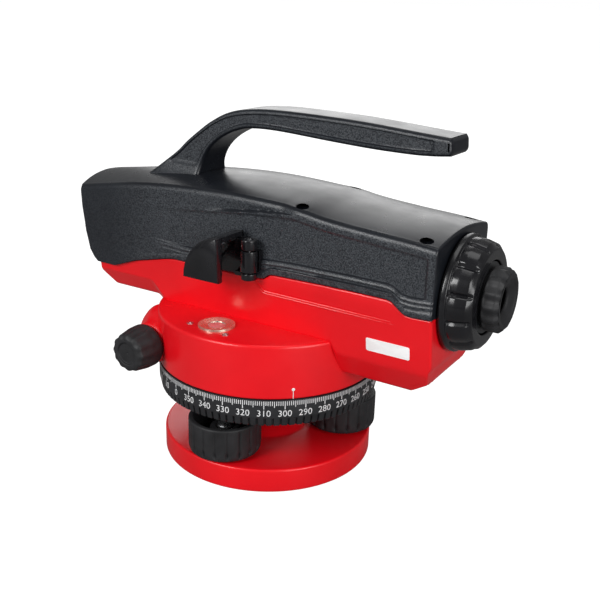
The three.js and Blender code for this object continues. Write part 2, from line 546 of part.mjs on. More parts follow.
const carriageTube = along([[11.6, CARRIAGE[0]], [13, CARRIAGE[0]], [13, CARRIAGE[1]],
  [11.6, CARRIAGE[1]]], 28);
const ear = (s) => cut(box([CARRIAGE[0] + 3, Math.min(s * 12.3, s * 20.5), RAIL_Z - 4],
  [CARRIAGE[1] - 3, Math.max(s * 12.3, s * 20.5), RAIL_Z + 4]),
  disc(2.3, CARRIAGE[0], CARRIAGE[1], 10, 'x', [0, s * RAIL_Y, RAIL_Z]));
const rackFoot = box([CARRIAGE[0] + 3, 12.4, RACK_Z + 1.2], [CARRIAGE[1] - 3, 15, RAIL_Z - 3]);
add('focus_carriage', join(carriageTube, ear(-1), ear(1), rackFoot, prism(rackOutline, 13.6, 17, 'y')),
  BLACK_METAL());
add('focus_lens', along([[0, -24], [5.5, -24.7], [11.3, -26.4], [11.3, -20.4], [5.5, -22.1], [0, -22.8]],
  24), GLASS());
const pinionOutline = gearOutline(PINION_TEETH, PINION_R, 0.6, 1, RACK_HALF, RACK_FLANK, Math.PI / 2)
  .map(([x, z]) => [x + FOCUS_X, z + FOCUS_Z]);
add('focus_shaft', join(prism(pinionOutline, 13.9, 17.6, 'y'),
  disc(3, 17, 42, 16, 'y', [FOCUS_X, 0, FOCUS_Z])), STEEL());
add('focus_knob', turned([[3.3, 30.6], [13.2, 30.6], [14, 31.6], [14, 43], [13, 44.6], [0, 44.6],
  [0, 42.4], [3.3, 42.4]], 26, 'y',
  [FOCUS_X, 0, FOCUS_Z]), RUBBER());

// ---- Compensator: prisms on a frame, and one on a pendulum that hangs from it on crossed wires ----
const FRAME_X = [34, 55.5];
const frameRing = cut(box([FRAME_X[0], -12.8, SHELF_Z + GAP], [FRAME_X[1], 12.8, 121]),
  box([FRAME_X[0] - 1, -10.8, 79], [FRAME_X[1] + 1, 10.8, 117]));
const prismShelves = [box([34, -12, 90], [41.6, 12, 93]), box([48.2, -12, 90], [55.5, 12, 93])];
add('compensator_frame', join(frameRing, ...prismShelves), ALUMINIUM());
add('front_prism', prism([[34.5, 93.3], [41.2, 93.3], [34.5, 109.5]], -8, 8, 'y'), GLASS());
add('rear_prism', prism([[55.3, 93.3], [55.3, 109.5], [48.6, 93.3]], -8, 8, 'y'), GLASS());
add('pendulum_prism', prism([[42.2, 109.9], [47.8, 109.9], [45, 98]], -7, 7, 'y'), GLASS());
const wires = [-8.6, 8.6].map((y) => box([44.8, y - 0.2, 112], [45.2, y + 0.2, 116.7]));
const pendulum = join(box([43.4, -10, 83.5], [46.6, 10, 90]), box([43.4, -10, 88], [46.6, -7.4, 113]),
  box([43.4, 7.4, 88], [46.6, 10, 113]), box([42.8, -10, 110.4], [47.2, 10, 113]), ...wires);
add('pendulum', pendulum, ALUMINIUM());
add('damper_magnet', box([41.5, -9, 79.3], [48.5, 9, 82.9]), BLACK_METAL());

// ---- Reticle, eyepiece and its screwed cover ----
add('reticle_glass', along([[0, 75], [12, 75], [12, 77.5], [0, 77.5]], 24), GLASS());
add('eyepiece_tube', along([[12.3, 73.5], [15.6, 73.5], [15.6, 90.4], [19.1, 90.4], [19.1, 94.1],
  [15.6, 94.1], [15.6, 110.4],
  [12.3, 110.4]], 32), BLACK_METAL());
const coverLobes = 8;
const lobed = Array.from({ length: coverLobes * 6 }, (_, i) => {
  const t = 2 * Math.PI * i / (coverLobes * 6);
  const r = 24.3 - 1.3 * Math.abs(Math.cos(coverLobes * t / 2)) ** 3;
  return [r * Math.cos(t), OPTICAL_Z + r * Math.sin(t)];
});
const coverRing = join(along([[16.2, EYE_END + 0.5], [25.2, EYE_END + 0.5], [26, EYE_END + 1.2],
  [26, EYE_END + 3], [25, EYE_END + 3.6],
  [16.2, EYE_END + 3.6]], 40), cut(prism(lobed, EYE_END + 3.2, 111.4, 'x'),
    disc(16.2, 90, 120, 32, 'x', [0, 0, OPTICAL_Z])));
const ringChamfer = along([[23.8, 108.4], [40, 108.4], [40, 112], [19.6, 112]], 40);
add('eyepiece_cover', cut(coverRing, ringChamfer), BLACK_PLASTIC());
add('dioptre_ring', along([[10.2, 98], [12, 98], [12, 111.7], [13.6, 111.9], [14.3, 113], [14.1, 117.6],
  [13.2, 119.3],
  [10.6, 119.3], [5.6, 116.8], [5.6, 115.6], [10.2, 115.6]], 32), BLACK_PLASTIC());
add('eyepiece_cell', along([[7, 96.5], [9.9, 96.5], [9.9, 113.4], [7, 113.4]], 20), BLACK_METAL());
add('eyepiece_lens', along([[0, 108.6], [6.7, 109.6], [6.7, 112.4], [4, 113.2], [0, 113.5]], 20),
  GLASS());

// ---- Blank label on the housing's side ----
const labelSlope = Math.atan2(4, 28);
const label = new THREE.BoxGeometry(20.4, 0.5, 6.2);
label.rotateX(labelSlope);
label.translate(77.5, -(26.05 + GAP + 0.35), 77.6);
add('label_plate', closed(label), WHITE());

export default instrument;
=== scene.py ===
import json
import math

import bmesh
import bpy
import mathutils
import numpy as np
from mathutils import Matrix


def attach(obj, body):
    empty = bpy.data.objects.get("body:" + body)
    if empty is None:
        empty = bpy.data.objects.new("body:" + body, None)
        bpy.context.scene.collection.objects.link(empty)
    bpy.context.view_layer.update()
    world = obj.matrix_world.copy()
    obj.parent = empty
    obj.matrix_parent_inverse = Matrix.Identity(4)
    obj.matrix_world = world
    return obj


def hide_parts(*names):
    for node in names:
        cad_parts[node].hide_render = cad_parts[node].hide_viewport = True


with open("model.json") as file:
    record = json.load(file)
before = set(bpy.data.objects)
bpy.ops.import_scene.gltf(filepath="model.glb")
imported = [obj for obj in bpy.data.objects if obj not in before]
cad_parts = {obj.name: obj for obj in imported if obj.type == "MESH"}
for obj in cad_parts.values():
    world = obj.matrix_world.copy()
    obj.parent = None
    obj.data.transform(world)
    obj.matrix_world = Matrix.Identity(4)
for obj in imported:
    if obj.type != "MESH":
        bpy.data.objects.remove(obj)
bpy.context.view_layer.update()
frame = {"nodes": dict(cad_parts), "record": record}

# ---- Lower housing ----
# One red-enamelled aluminium casting: the round turret that covers the circle's bearing, two bosses for the
# tangent screw, and the trough that carries the telescope's optics.
MM = 0.001
AXIS_X = -6.8            # mm, the vertical axis in the object's frame
HALF_WIDTH = 29.0
OPTICAL_Z = 101.4        # height of the line of sight
WALL = 2.4               # thickness of the two castings
NOSE_R, EYE_R = 20.0, 16.0    # radii of the bores in the body's two ends


def grid(points, wrap_u=False, wrap_v=False):
    """Quads over an array of points in rows and columns; a wrapped direction joins its last row to its first."""
    rows, columns = points.shape[:2]
    u = np.arange(rows if wrap_u else rows - 1)[:, None]
    v = np.arange(columns if wrap_v else columns - 1)[None, :]
    u1, v1 = (u + 1) % rows, (v + 1) % columns
    quads = np.stack([u * columns + v, u1 * columns + v, u1 * columns + v1, u * columns + v1], axis=-1)
    return points.reshape(-1, 3), quads.reshape(-1, 4)


def piece(name, parts, material, body, nodes=(), sharp=32.0, outward=True):
    """A mesh from one or more grids in millimetres, moved from the vertical axis to its place in metres."""
    verts, faces, start = [], [], 0
    for points, quads in parts:
        verts.append(points)
        faces.append(quads + start)
        start += len(points)
    at = (np.concatenate(verts) + [AXIS_X, 0.0, 0.0]) * MM
    quads = np.concatenate(faces)
    mesh = bpy.data.meshes.new(name)
    mesh.vertices.add(len(at))
    mesh.vertices.foreach_set("co", at.astype(np.float32).ravel())
    mesh.loops.add(quads.size)
    mesh.loops.foreach_set("vertex_index", quads.astype(np.int32).ravel())
    mesh.polygons.add(len(quads))
    mesh.polygons.foreach_set("loop_start", np.arange(0, quads.size, 4, dtype=np.int32))
    mesh.update(calc_edges=True)
    mesh.validate()
    tidy_mesh(mesh, outward)
    mesh.set_sharp_from_angle(angle=math.radians(sharp))
    mesh.materials.append(material)
    made = bpy.data.objects.new(name, mesh)
    bpy.context.scene.collection.objects.link(made)
    settle(made, body, nodes)
    return made


def tidy_mesh(mesh, outward):
    """Merges doubled points at poles and seams, and turns the faces outwards."""
    work = bmesh.new()
    work.from_mesh(mesh)
    bmesh.ops.remove_doubles(work, verts=work.verts, dist=2e-6)
    bmesh.ops.dissolve_degenerate(work, edges=work.edges, dist=1e-7)
    if outward:
        bmesh.ops.recalc_face_normals(work, faces=work.faces)
    work.to_mesh(mesh)
    work.free()
    mesh.polygons.foreach_set("use_smooth", np.ones(len(mesh.polygons), dtype=bool))


def settle(made, body, nodes):
    """The body that a piece rides on, and the solid parts whose place it takes."""
    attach(made, body)
    if nodes:
        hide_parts(*nodes)


def apply_modifiers(made):
    """The finished mesh takes the place of the one that its modifiers shape."""
    shaped = bpy.data.meshes.new_from_object(made.evaluated_get(bpy.context.evaluated_depsgraph_get()))
    made.modifiers.clear()
    made.data = shaped


def through(points, x):
    """Smooth curve through (x, value) points: cubic pieces whose slope at a point is that of its neighbours."""
    px, py = np.array(points, float).T
    slope = np.gradient(py, px)
    x = np.clip(x, px[0], px[-1])
    i = np.clip(np.searchsorted(px, x) - 1, 0, len(px) - 2)
    h = px[i + 1] - px[i]
    t = (x - px[i]) / h
    return ((2 * t**3 - 3 * t**2 + 1) * py[i] + (t**3 - 2 * t**2 + t) * h * slope[i]
            + (3 * t**2 - 2 * t**3) * py[i + 1] + (t**3 - t**2) * h * slope[i + 1])


def step(x, start, end):
    """0 before start, 1 after end, with a smooth rise between them."""
    t = np.clip((x - start) / (end - start), 0.0, 1.0)
    return t * t * (3 - 2 * t)


def revolve(profile, axis="z", at=(0.0, 0.0, 0.0), around=96, shape=None):
    """A profile of (radius, height) turned about an axis through at.
    shape(angle, radius, height) gives a new radius."""
    r, h = np.array(profile, float).T
    angle = np.linspace(0.0, 2 * math.pi, around, endpoint=False)
    radius = np.broadcast_to(r[:, None], (len(r), around))
    height = np.broadcast_to(h[:, None], (len(r), around))
    if shape:
        radius = shape(angle[None, :], radius, height)
    a, b = radius * np.cos(angle), radius * np.sin(angle)
    order = {"x": (height, a, b), "y": (a, height, b), "z": (a, b, height)}[axis]
    closed_profile = r[0] > 1e-6 or r[-1] > 1e-6
    return grid(np.stack(order, axis=-1) + np.array(at, float), wrap_u=closed_profile, wrap_v=True)


def rounded(profile, radius, steps=4, closed=False):
    """A profile whose corners are cut back by radius and turned in steps along a quadratic curve."""
    p = np.array(profile, float)
    n = len(p)
    out = []
    for i in range(n):
        if not closed and i in (0, n - 1):
            out.append(p[i])
            continue
        before, here, after = p[i - 1], p[i], p[(i + 1) % n]
        a, b = before - here, after - here
        la, lb = np.hypot(*a), np.hypot(*b)
        cut = min(radius, 0.45 * la, 0.45 * lb)
        start, end = here + a / la * cut, here + b / lb * cut
        for t in np.linspace(0.0, 1.0, steps + 1):
            out.append((1 - t)**2 * start + 2 * t * (1 - t) * here + t**2 * end)
    return np.array(out)


def socket(group, name, side, kind="NodeSocketFloat", value=None):
    """An input or output of a node group."""
    made = group.interface.new_socket(name=name, in_out=side, socket_type=kind)
    if value is not None:
        made.default_value = value


def coat_patches():
    """Group: slow soft patches in a coat, as a number between Low and High."""
    group = bpy.data.node_groups.new("coat patches", "ShaderNodeTree")
    for name, value in (("Scale", 60.0), ("Low", 0.3), ("High", 0.4)):
        socket(group, name, "INPUT", value=value)
    socket(group, "Value", "OUTPUT")
    n, link = group.nodes, group.links.new
    inside, out = n.new("NodeGroupInput"), n.new("NodeGroupOutput")
    where, noise, ranged = n.new("ShaderNodeTexCoord"), n.new("ShaderNodeTexNoise"), n.new("ShaderNodeMapRange")
    noise.inputs["Detail"].default_value = 5.0
    ranged.inputs["From Min"].default_value = 0.3
    ranged.inputs["From Max"].default_value = 0.7
    link(where.outputs["Object"], noise.inputs["Vector"])
    link(inside.outputs["Scale"], noise.inputs["Scale"])
    link(noise.outputs["Fac"], ranged.inputs["Value"])
    link(inside.outputs["Low"], ranged.inputs["To Min"])
    link(inside.outputs["High"], ranged.inputs["To Max"])
    link(ranged.outputs["Result"], out.inputs["Value"])
    return group


def coat_grain():
    """Group: fine raised grain, as a height in metres and as a mask for painted glints on its raised tops; Mask fades
    both.
    """
    group = bpy.data.node_groups.new("coat grain", "ShaderNodeTree")
    for name, value in (("Scale", 1500.0), ("Depth", 2e-5), ("Mask", 1.0)):
        socket(group, name, "INPUT", value=value)
    socket(group, "Height", "OUTPUT")
    socket(group, "Painted glint", "OUTPUT")
    n, link = group.nodes, group.links.new
    inside, out = n.new("NodeGroupInput"), n.new("NodeGroupOutput")
    where, noise, ranged = n.new("ShaderNodeTexCoord"), n.new("ShaderNodeTexNoise"), n.new("ShaderNodeMapRange")
    deep, faded, painted_glint = n.new("ShaderNodeMath"), n.new("ShaderNodeMath"), n.new("ShaderNodeMath")
    noise.inputs["Detail"].default_value = 2.0
    ranged.inputs["From Min"].default_value = 0.35
    ranged.inputs["From Max"].default_value = 0.65
    for math_node in (deep, faded, painted_glint):
        math_node.operation = "MULTIPLY"
    link(where.outputs["Object"], noise.inputs["Vector"])
    link(inside.outputs["Scale"], noise.inputs["Scale"])
    link(noise.outputs["Fac"], ranged.inputs["Value"])
    link(ranged.outputs["Result"], deep.inputs[0])
    link(inside.outputs["Depth"], deep.inputs[1])
    link(deep.outputs[0], faded.inputs[0])
    link(inside.outputs["Mask"], faded.inputs[1])
    link(ranged.outputs["Result"], painted_glint.inputs[0])
    link(inside.outputs["Mask"], painted_glint.inputs[1])
    link(faded.outputs[0], out.inputs["Height"])
    link(painted_glint.outputs[0], out.inputs["Painted glint"])
    return group


PATCHES = coat_patches()
GRAIN = coat_grain()


def surface_finish(name, dark, light, rough, patch_scale=60.0, grain=(1500.0, 1e-5), mask=None, painted_glint=None,
                   **constants):
    """A coat or metal: in soft patches, its colour runs between dark and light and its roughness between two values; an
    optional colour paints glints on the raised grain.
    """
    material = bpy.data.materials.new(name)
    material.use_nodes = True
    n, link = material.node_tree.nodes, material.node_tree.links.new
    shader = n["Principled BSDF"]
    patches, roughs, grains = (n.new("ShaderNodeGroup") for _ in range(3))
    patches.node_tree = roughs.node_tree = PATCHES
    grains.node_tree = GRAIN
    patches.inputs["Scale"].default_value = patch_scale
    patches.inputs["Low"].default_value, patches.inputs["High"].default_value = 0.0, 1.0
    roughs.inputs["Scale"].default_value = patch_scale * 2.3
    roughs.inputs["Low"].default_value, roughs.inputs["High"].default_value = rough
    grains.inputs["Scale"].default_value, grains.inputs["Depth"].default_value = grain
    mixed = n.new("ShaderNodeMix")
    mixed.data_type = "RGBA"
    mixed.inputs["A"].default_value = (*dark, 1.0)
    mixed.inputs["B"].default_value = (*light, 1.0)
    link(patches.outputs["Value"], mixed.inputs["Factor"])
    colour = mixed.outputs["Result"]
    if mask:
        link(mask(n, link), grains.inputs["Mask"])
    # Painted glints: lighter flecks of the given colour on the raised grain, where light would catch it.
    if painted_glint:
        with_painted_glints = n.new("ShaderNodeMix")
        with_painted_glints.data_type = "RGBA"
        with_painted_glints.inputs["B"].default_value = (*painted_glint, 1.0)
        link(grains.outputs["Painted glint"], with_painted_glints.inputs["Factor"])
        link(colour, with_painted_glints.inputs["A"])
        colour = with_painted_glints.outputs["Result"]
    link(colour, shader.inputs["Base Color"])
    link(roughs.outputs["Value"], shader.inputs["Roughness"])
    bump = n.new("ShaderNodeBump")
    bump.inputs["Distance"].default_value = 1.0
    link(grains.outputs["Height"], bump.inputs["Height"])
    link(bump.outputs["Normal"], shader.inputs["Normal"])
    for socket_name, value in constants.items():
        shader.inputs[socket_name.replace("_", " ")].default_value = value
    return material


red_enamel = surface_finish("red enamel", (0.74, 0.0025, 0.008), (0.82, 0.004, 0.010), (0.28, 0.38), 40.0,
                            (900.0, 6e-6), Coat_Weight=0.15, Coat_Roughness=0.14, Specular_IOR_Level=0.38)

# Where the cover and the housing meet, and the underside of the trough along the telescope.
SEAM = [(-99, 88.1), (-79, 88.1), (-69.3, 90.8), (-60.8, 93.4), (-52.6, 95.3), (-42, 97.7), (-36.8, 98.5), (-20, 98.4),
        (0, 98.3), (12, 98.4), (15.5, 98.8), (18.5, 101.0), (21, 101.4), (45, 101.9), (62, 102.0), (77, 101.8),
        (79.5, 101.2), (83, 98.4), (86, 96.6), (89, 96.3), (98, 96.6)]


def seam_height(x):
    """Height of the joint between cover and housing, at a place along the telescope."""
    px, pz = np.array(SEAM).T
    return np.interp(x, px, pz)


def shell(side_points, corner_x, face_x, bore_radius, bore_angles, x_rows, fillet=1.0):
    """Sheet over the body's rows and over both of its ends, as far as the bore in each.
    side_points(x) gives the section (y, z) at each row. An end's row leans to corner_x, and its face fills in to the
    bore."""
    x = x_rows[:, None]
    y, z = side_points(x_rows)
    nose, eye = corner_x
    x0, x1 = x_rows[0], x_rows[-1]
    lean_nose = np.clip((-60.0 - x) / (-60.0 - x0), 0.0, 1.0)
    lean_eye = np.clip((x - 70.0) / (x1 - 70.0), 0.0, 1.0)
    nose_z, eye_z = nose(y[0], z[0]), eye(y[-1], z[-1])
    placed = x + lean_nose**1.5 * (nose_z + fillet - x0)[None, :] + lean_eye**1.5 * (eye_z - fillet - x1)[None, :]
    rows = [np.stack([placed, y, z], axis=-1)]
    ends = []
    for k, corner, face, sign in ((0, nose_z, face_x[0], 1.0), (-1, eye_z, face_x[1], -1.0)):
        angle = np.linspace(*bore_angles[k], y.shape[1])
        bore_y = bore_radius[k] * np.cos(angle)
        bore_z = OPTICAL_Z + bore_radius[k] * np.sin(angle)
        to_bore = np.stack([bore_y - y[k], bore_z - z[k]], axis=-1)
        length = np.maximum(np.linalg.norm(to_bore, axis=-1), 1e-3)
        made = []
        for turn in np.linspace(0.0, math.pi / 2, 6)[1:]:
            share = fillet * (1 - math.cos(turn)) / length
            yy, zz = y[k] + to_bore[:, 0] * share, z[k] + to_bore[:, 1] * share
            xx = corner + sign * fillet * (1 - math.sin(turn))
            made.append(np.stack([xx, yy, zz], axis=-1))
        for share in np.linspace(0.0, 1.0, 18)[1:]:
            near = fillet / length
            s = near + (1 - near) * share
            yy, zz = y[k] + to_bore[:, 0] * s, z[k] + to_bore[:, 1] * s
            made.append(np.stack([face(yy, zz), yy, zz], axis=-1))
        rim = made[-1]
        for depth in (0.4, 2.0, 6.0):
            made.append(rim + [sign * depth, 0.0, 0.0])
        ends.append(np.array(made))
    return np.concatenate([ends[0][::-1], rows[0], ends[1]])


def nose_corner(y, z):
    """End of the nose: it leans back below, and bulges forward in plan."""
    edge = np.interp(z, [75.3, 83, 87.4, 90, 93.8, 103.1, 115.9, 126.7],
                     [-81.5, -87.0, -87.2, -90.3, -92.9, -95.0, -96.8, -97.4])
    spread = np.clip(1 - (np.abs(y) / 28.3)**1.6, 0.0, 1.0)
    return edge - 7.9 * spread * step(z, 84.0, 90.0)


def lower_nose_corner(y, z):
    """Front end of the housing's trough, below the nose."""
    edge = np.interp(z, [75.3, 83, 90, 110], [-81.5, -87.0, -87.2, -87.2])
    return edge - 3.0 * np.clip(1 - (np.abs(y) / 28.3)**1.6, 0.0, 1.0) * step(z, 76.0, 84.0)


def eye_corner(y, z):
    """Rear end of the body, which leans in towards its foot."""
    return np.interp(z, [58, 64, 70.7, 73, 110], [86.5, 95.0, 96.3, 97.5, 97.5])


def trough_section(x):
    """Half-section from the seam down the flank and across the underside: nose, middle and eyepiece shapes blended."""
    top = seam_height(x)[:, None] - 0.35
    nose = np.array([[29, 98], [27.3, 84.5], [22, 75.3], [0, 75.3]])
    middle = np.array([[29, 98], [25.5, 75.0], [24.0, 72], [0, 72]])
    eye = np.array([[29, 98], [24.6, 69.8], [18, 58], [0, 58]])
    y, z = np.zeros((len(x), 62)), np.zeros((len(x), 62))
    eye_share = step(x, 48.5, 51.5)[:, None]
    nose_share = (1 - step(x, -54.0, -44.0))[:, None]
    for k, (a, b, n) in enumerate(((0, 1, 28), (1, 2, 14), (2, 3, 19))):
        first = (0, 28, 42)[k]
        t = np.linspace(0.0, 1.0, n + (k == 2), endpoint=(k == 2))[None, :]
        for form, share in ((nose, nose_share), (middle, (1 - nose_share) * (1 - eye_share)), (eye, eye_share)):
            start, end = form[a], form[b]
            if k == 0:
                z_here = top + (end[1] - top) * t
                y_here = end[0] + (start[0] - end[0]) * (z_here - end[1]) / (start[1] - end[1])
                y_here = np.minimum(y_here, start[0])
            else:
                y_here, z_here = start[0] + (end[0] - start[0]) * t, start[1] + (end[1] - start[1]) * t
            y[:, first:first + t.shape[1]] += share * y_here
            z[:, first:first + t.shape[1]] += share * z_here
    return soften(y), soften(z)


def soften(a, times=2):
    """Each inner column moves to the mean of its neighbours, which rounds the section's corners."""
    for _ in range(times):
        a = a.copy()
        a[:, 1:-1] = 0.25 * a[:, :-2] + 0.5 * a[:, 1:-1] + 0.25 * a[:, 2:]
    return a


def whole_trough(x):
    """Both halves of the trough's section, from one seam to the other."""
    y, z = trough_section(x)
    return np.concatenate([-y, y[:, -2::-1]], axis=1), np.concatenate([z, z[:, -2::-1]], axis=1)


NOSE_BORE = math.asin((88.0 - OPTICAL_Z) / NOSE_R)
EYE_BORE = math.asin((96.3 - OPTICAL_Z) / EYE_R)
trough_rows = np.unique(np.concatenate([np.linspace(-87.0, 97.5, 190), np.linspace(76, 90, 40),
                                        np.linspace(14, 22, 30)]))
trough_sheet = shell(whole_trough, (lower_nose_corner, eye_corner), (lower_nose_corner, eye_corner), (NOSE_R, EYE_R),
                     ((-math.pi - NOSE_BORE, NOSE_BORE), (-math.pi - EYE_BORE, EYE_BORE)), trough_rows)
trough = piece("housing_trough", [grid(trough_sheet)], red_enamel, "alidade", ("lower_housing",))
wall = trough.modifiers.new("wall", "SOLIDIFY")
wall.thickness = WALL * MM
wall.offset = -1.0
apply_modifiers(trough)

# A pair of fine raised lines runs below the seam on each flank.
for side, word in ((-1, "near"), (1, "far")):
    for k, lower in enumerate((0.0, 1.1)):
        line = np.array([(10.6, 97.4 - lower), (14.9 - 0.4 * lower, 93.1 - lower), (15.9, 92.6 - lower),
                         (48, 92.3 - lower), (80.5, 92.0 - lower)])
        turn = np.linspace(0, 2 * math.pi, 9)[:-1]
        sweep = [[(x, side * (28.25 + 0.154 * (z - 92) + r * math.cos(t)), z + r * math.sin(t)) for t in turn]
                 for r, (x, z) in zip((0.02, 0.36, 0.36, 0.36, 0.02), line)]
        piece(f"flank_line_{word}_{k + 1}", [grid(np.array(sweep), wrap_v=True)], red_enamel, "alidade")

TURRET_R = 55.0
turret_profile = rounded([(50.8, 49.2), (54.6, 49.2), (TURRET_R, 49.8), (TURRET_R, 75.0), (4.0, 75.0), (4.0, 71.2),
                          (50.8, 71.2)],
                         1.7, 6, closed=True)
piece("housing_turret", [revolve(turret_profile, around=240)], red_enamel, "alidade")
TANGENT_AT = (-39.5, 0, 59.5)
boss_profile = [(3.6, 30.0), (16.5, 30.0), (14.0, 36.0), (11.6, 39.5), (10.6, 41.5), (10.2, 43.2), (10.0, 44.6),
                (9.4, 45.3), (3.6, 45.3)]
for side, word in ((-1, "left"), (1, "right")):
    turned_boss = rounded(boss_profile, 2.5, 4, closed=True) * [1, side]
    piece(f"tangent_boss_{word}", [revolve(turned_boss, "y", TANGENT_AT, 72)], red_enamel, "alidade")

# ---- Top cover ----
# The telescope's upper shell, cast in one with the carrying handle and black-enamelled: smooth on the roof and
# the nose, powder-textured on its flanks and along the handle. Its edge is beaded where it meets the housing.
ROOF_EDGE = [(-98, 126.7), (-80, 129.6), (-63, 132.2), (-32, 134.7), (-3, 135.2), (14, 134.5), (32, 133.2),
             (43.6, 131.4), (65.6, 129.3), (86.3, 127.9), (98, 126.8)]
BEAD = [(-98, 105.6), (-52.8, 105.3), (-28.6, 104.2), (0, 104.4), (19, 106.2), (44.6, 106.8), (61.5, 106.0),
        (78.5, 106.2), (80.5, 105.6), (83.5, 103.7), (86, 103.3), (98, 103.6)]
PANEL_TOP = [(-98, 119.0), (-60, 121.0), (-26.4, 123.7), (-5.7, 125.9), (13.8, 127.5), (32.3, 128.2), (48.6, 127.4),
             (65.7, 126.0), (81.4, 125.0), (93, 123.4), (98, 122.5)]
SCOOP_LOW = [(-30, 124.2), (-26.4, 124.7), (-5.7, 127.2), (13.7, 129.5), (32.3, 130.7), (44, 130.4)]
CROWN = 3.0
SHOULDER = 2.6           # radius of the edge between flank and roof


def cover_texture(n, link):
    """1 on the flanks behind the nose, 0 on the roof, the ends and the nose: where the coat is textured and carries
    painted glints.
    """
    where, parts = n.new("ShaderNodeTexCoord"), n.new("ShaderNodeSeparateXYZ")
    sides = n.new("ShaderNodeSeparateXYZ")
    size, flank, back, both = (n.new(kind) for kind in ("ShaderNodeMath", "ShaderNodeMapRange", "ShaderNodeMapRange",
                                                        "ShaderNodeMath"))
    size.operation, both.operation = "ABSOLUTE", "MULTIPLY"
    link(where.outputs["Object"], parts.inputs[0])
    link(where.outputs["Normal"], sides.inputs[0])
    link(sides.outputs["Y"], size.inputs[0])
    link(size.outputs[0], flank.inputs["Value"])
    flank.inputs["From Min"].default_value, flank.inputs["From Max"].default_value = 0.75, 0.95
    link(parts.outputs["X"], back.inputs["Value"])
    back.inputs["From Min"].default_value, back.inputs["From Max"].default_value = -0.085, -0.050
    back.inputs["To Min"].default_value = 0.25
    link(flank.outputs[0], both.inputs[0])
    link(back.outputs[0], both.inputs[1])
    return both.outputs[0]


# The grain on the flanks is real texture; its grey flecks are painted glints on the raised grain of the black coat.
black_cast = surface_finish("black cast enamel", (0.006, 0.007, 0.010), (0.011, 0.013, 0.017), (0.26, 0.36), 35.0,
                            (1700.0, 6.5e-5), mask=cover_texture, painted_glint=(0.060, 0.066, 0.074), Coat_Weight=0.1,
                            Coat_Roughness=0.2, Specular_IOR_Level=0.32)


def feature_heights(x):
    """Heights up the flank that the sheet's lines follow: rim, bead, panel and shoulder."""
    seam, edge = seam_height(x), through(ROOF_EDGE, x)
    bead = np.maximum(through(BEAD, x), seam + 4.9)
    panel = np.minimum(through(PANEL_TOP, x), edge - SHOULDER - 2.6)
    return [seam, seam + 2.6, bead - 2.2, bead + 1.4, bead + 2.2, panel - 1.2, panel + 0.9, edge - SHOULDER - 0.8]


def cover_section(x):
    """Section from the seam up the flank, round the shoulder and over the crowned roof to the middle."""
    marks = feature_heights(x)
    counts = (7, 4, 12, 4, 14, 7, 6)
    z = [low[:, None] + (high - low)[:, None] * np.linspace(0, 1, n, endpoint=False)[None, :]
         for low, high, n in zip(marks[:-1], marks[1:], counts)]
    z = np.concatenate(z + [marks[-1][:, None]], axis=1)
    xx = x[:, None]
    seam, bead, panel = marks[0][:, None], (marks[3] - 1.4)[:, None], (marks[5] + 1.2)[:, None]
    edge = through(ROOF_EDGE, xx)
    behind_nose = step(xx, -58.0, -24.0)
    before_end = 1 - step(xx, 94.0, 95.0)
    inset = 0.65 * step(z, bead + 1.3, bead + 2.1) * (1 - step(z, panel - 1.0, panel + 0.8)) * behind_nose * before_end
    ridges = 0.42 * (np.exp(-((z - bead) / 0.55)**2) + np.exp(-((z - bead + 2.0) / 0.5)**2))
    ridges = ridges * (0.25 + 0.75 * behind_nose)
    rim = 0.75 * np.sqrt(np.clip(1 - ((z - seam - 1.5) / 1.9)**2, 0.0, 1.0)) * step(xx, -90.0, -70.0)
    low = through(SCOOP_LOW, xx)
    in_scoop = step(xx, -27.0, 4.0) * (1 - step(xx, 30.0, 46.0))
    scoop_top = edge - SHOULDER * 0.4
    scoop = 1.5 * in_scoop * np.clip((scoop_top - z) / (scoop_top - low), 0, 1) * step(z, low - 0.9, low + 0.4)
    y = HALF_WIDTH - inset + ridges + rim - scoop
    turn = np.linspace(0.0, math.pi / 2, 9)[1:]
    arc_y = y[:, -1:] - SHOULDER * (1 - np.cos(turn))
    arc_z = z[:, -1:] + (SHOULDER + 0.8) * np.sin(turn)
    share = np.linspace(0.0, 1.0, 26)[1:]
    last_y, last_z = arc_y[:, -1:], arc_z[:, -1:]
    roof_y = last_y * (1 - share)
    roof_z = last_z + CROWN * (1 - (1 - share)**1.8)
    return np.concatenate([y, arc_y, roof_y], axis=1), np.concatenate([z, arc_z, roof_z], axis=1)


def whole_cover(x):
    """Both halves of the cover's section, from one seam to the other."""
    y, z = cover_section(x)
    return np.concatenate([-y, y[:, -2::-1]], axis=1), np.concatenate([z, z[:, -2::-1]], axis=1)


cover_rows = np.unique(np.concatenate([np.linspace(-97.4, 97.5, 200), np.linspace(76, 96, 30),
                                       np.linspace(12, 22, 16)]))
cover_sheet = shell(whole_cover, (nose_corner, eye_corner), (nose_corner, eye_corner), (NOSE_R, EYE_R),
                    ((math.pi - NOSE_BORE, NOSE_BORE), (math.pi - EYE_BORE, EYE_BORE)), cover_rows)
cover = piece("cover_shell", [grid(cover_sheet)], black_cast, "alidade", ("top_cover",))
wall = cover.modifiers.new("wall", "SOLIDIFY")
wall.thickness = WALL * MM
wall.offset = -1.0
SCREW_PLACES = [(x, side * y) for x, y in ((32.0, 24.3), (90.5, 23.8)) for side in (-1, 1)]
WELL_R = 2.9


def sink_wells(made, places, profile, around, body):
    """Cuts a well of the given profile into a piece at each (x, y) of places."""
    wells = []
    for x, y in places:
        well = piece("well", [revolve(profile, at=(x, y, 0), around=around)], made.data.materials[0], body)
        taken = made.modifiers.new("well", "BOOLEAN")
        taken.object, taken.operation, taken.solver = well, "DIFFERENCE", "FAST"
        wells.append(well)
    apply_modifiers(made)
    for well in wells:
        bpy.data.objects.remove(well)


sink_wells(cover, SCREW_PLACES, [(0, 118), (WELL_R, 118), (WELL_R, 140), (0, 140)], 32, "alidade")

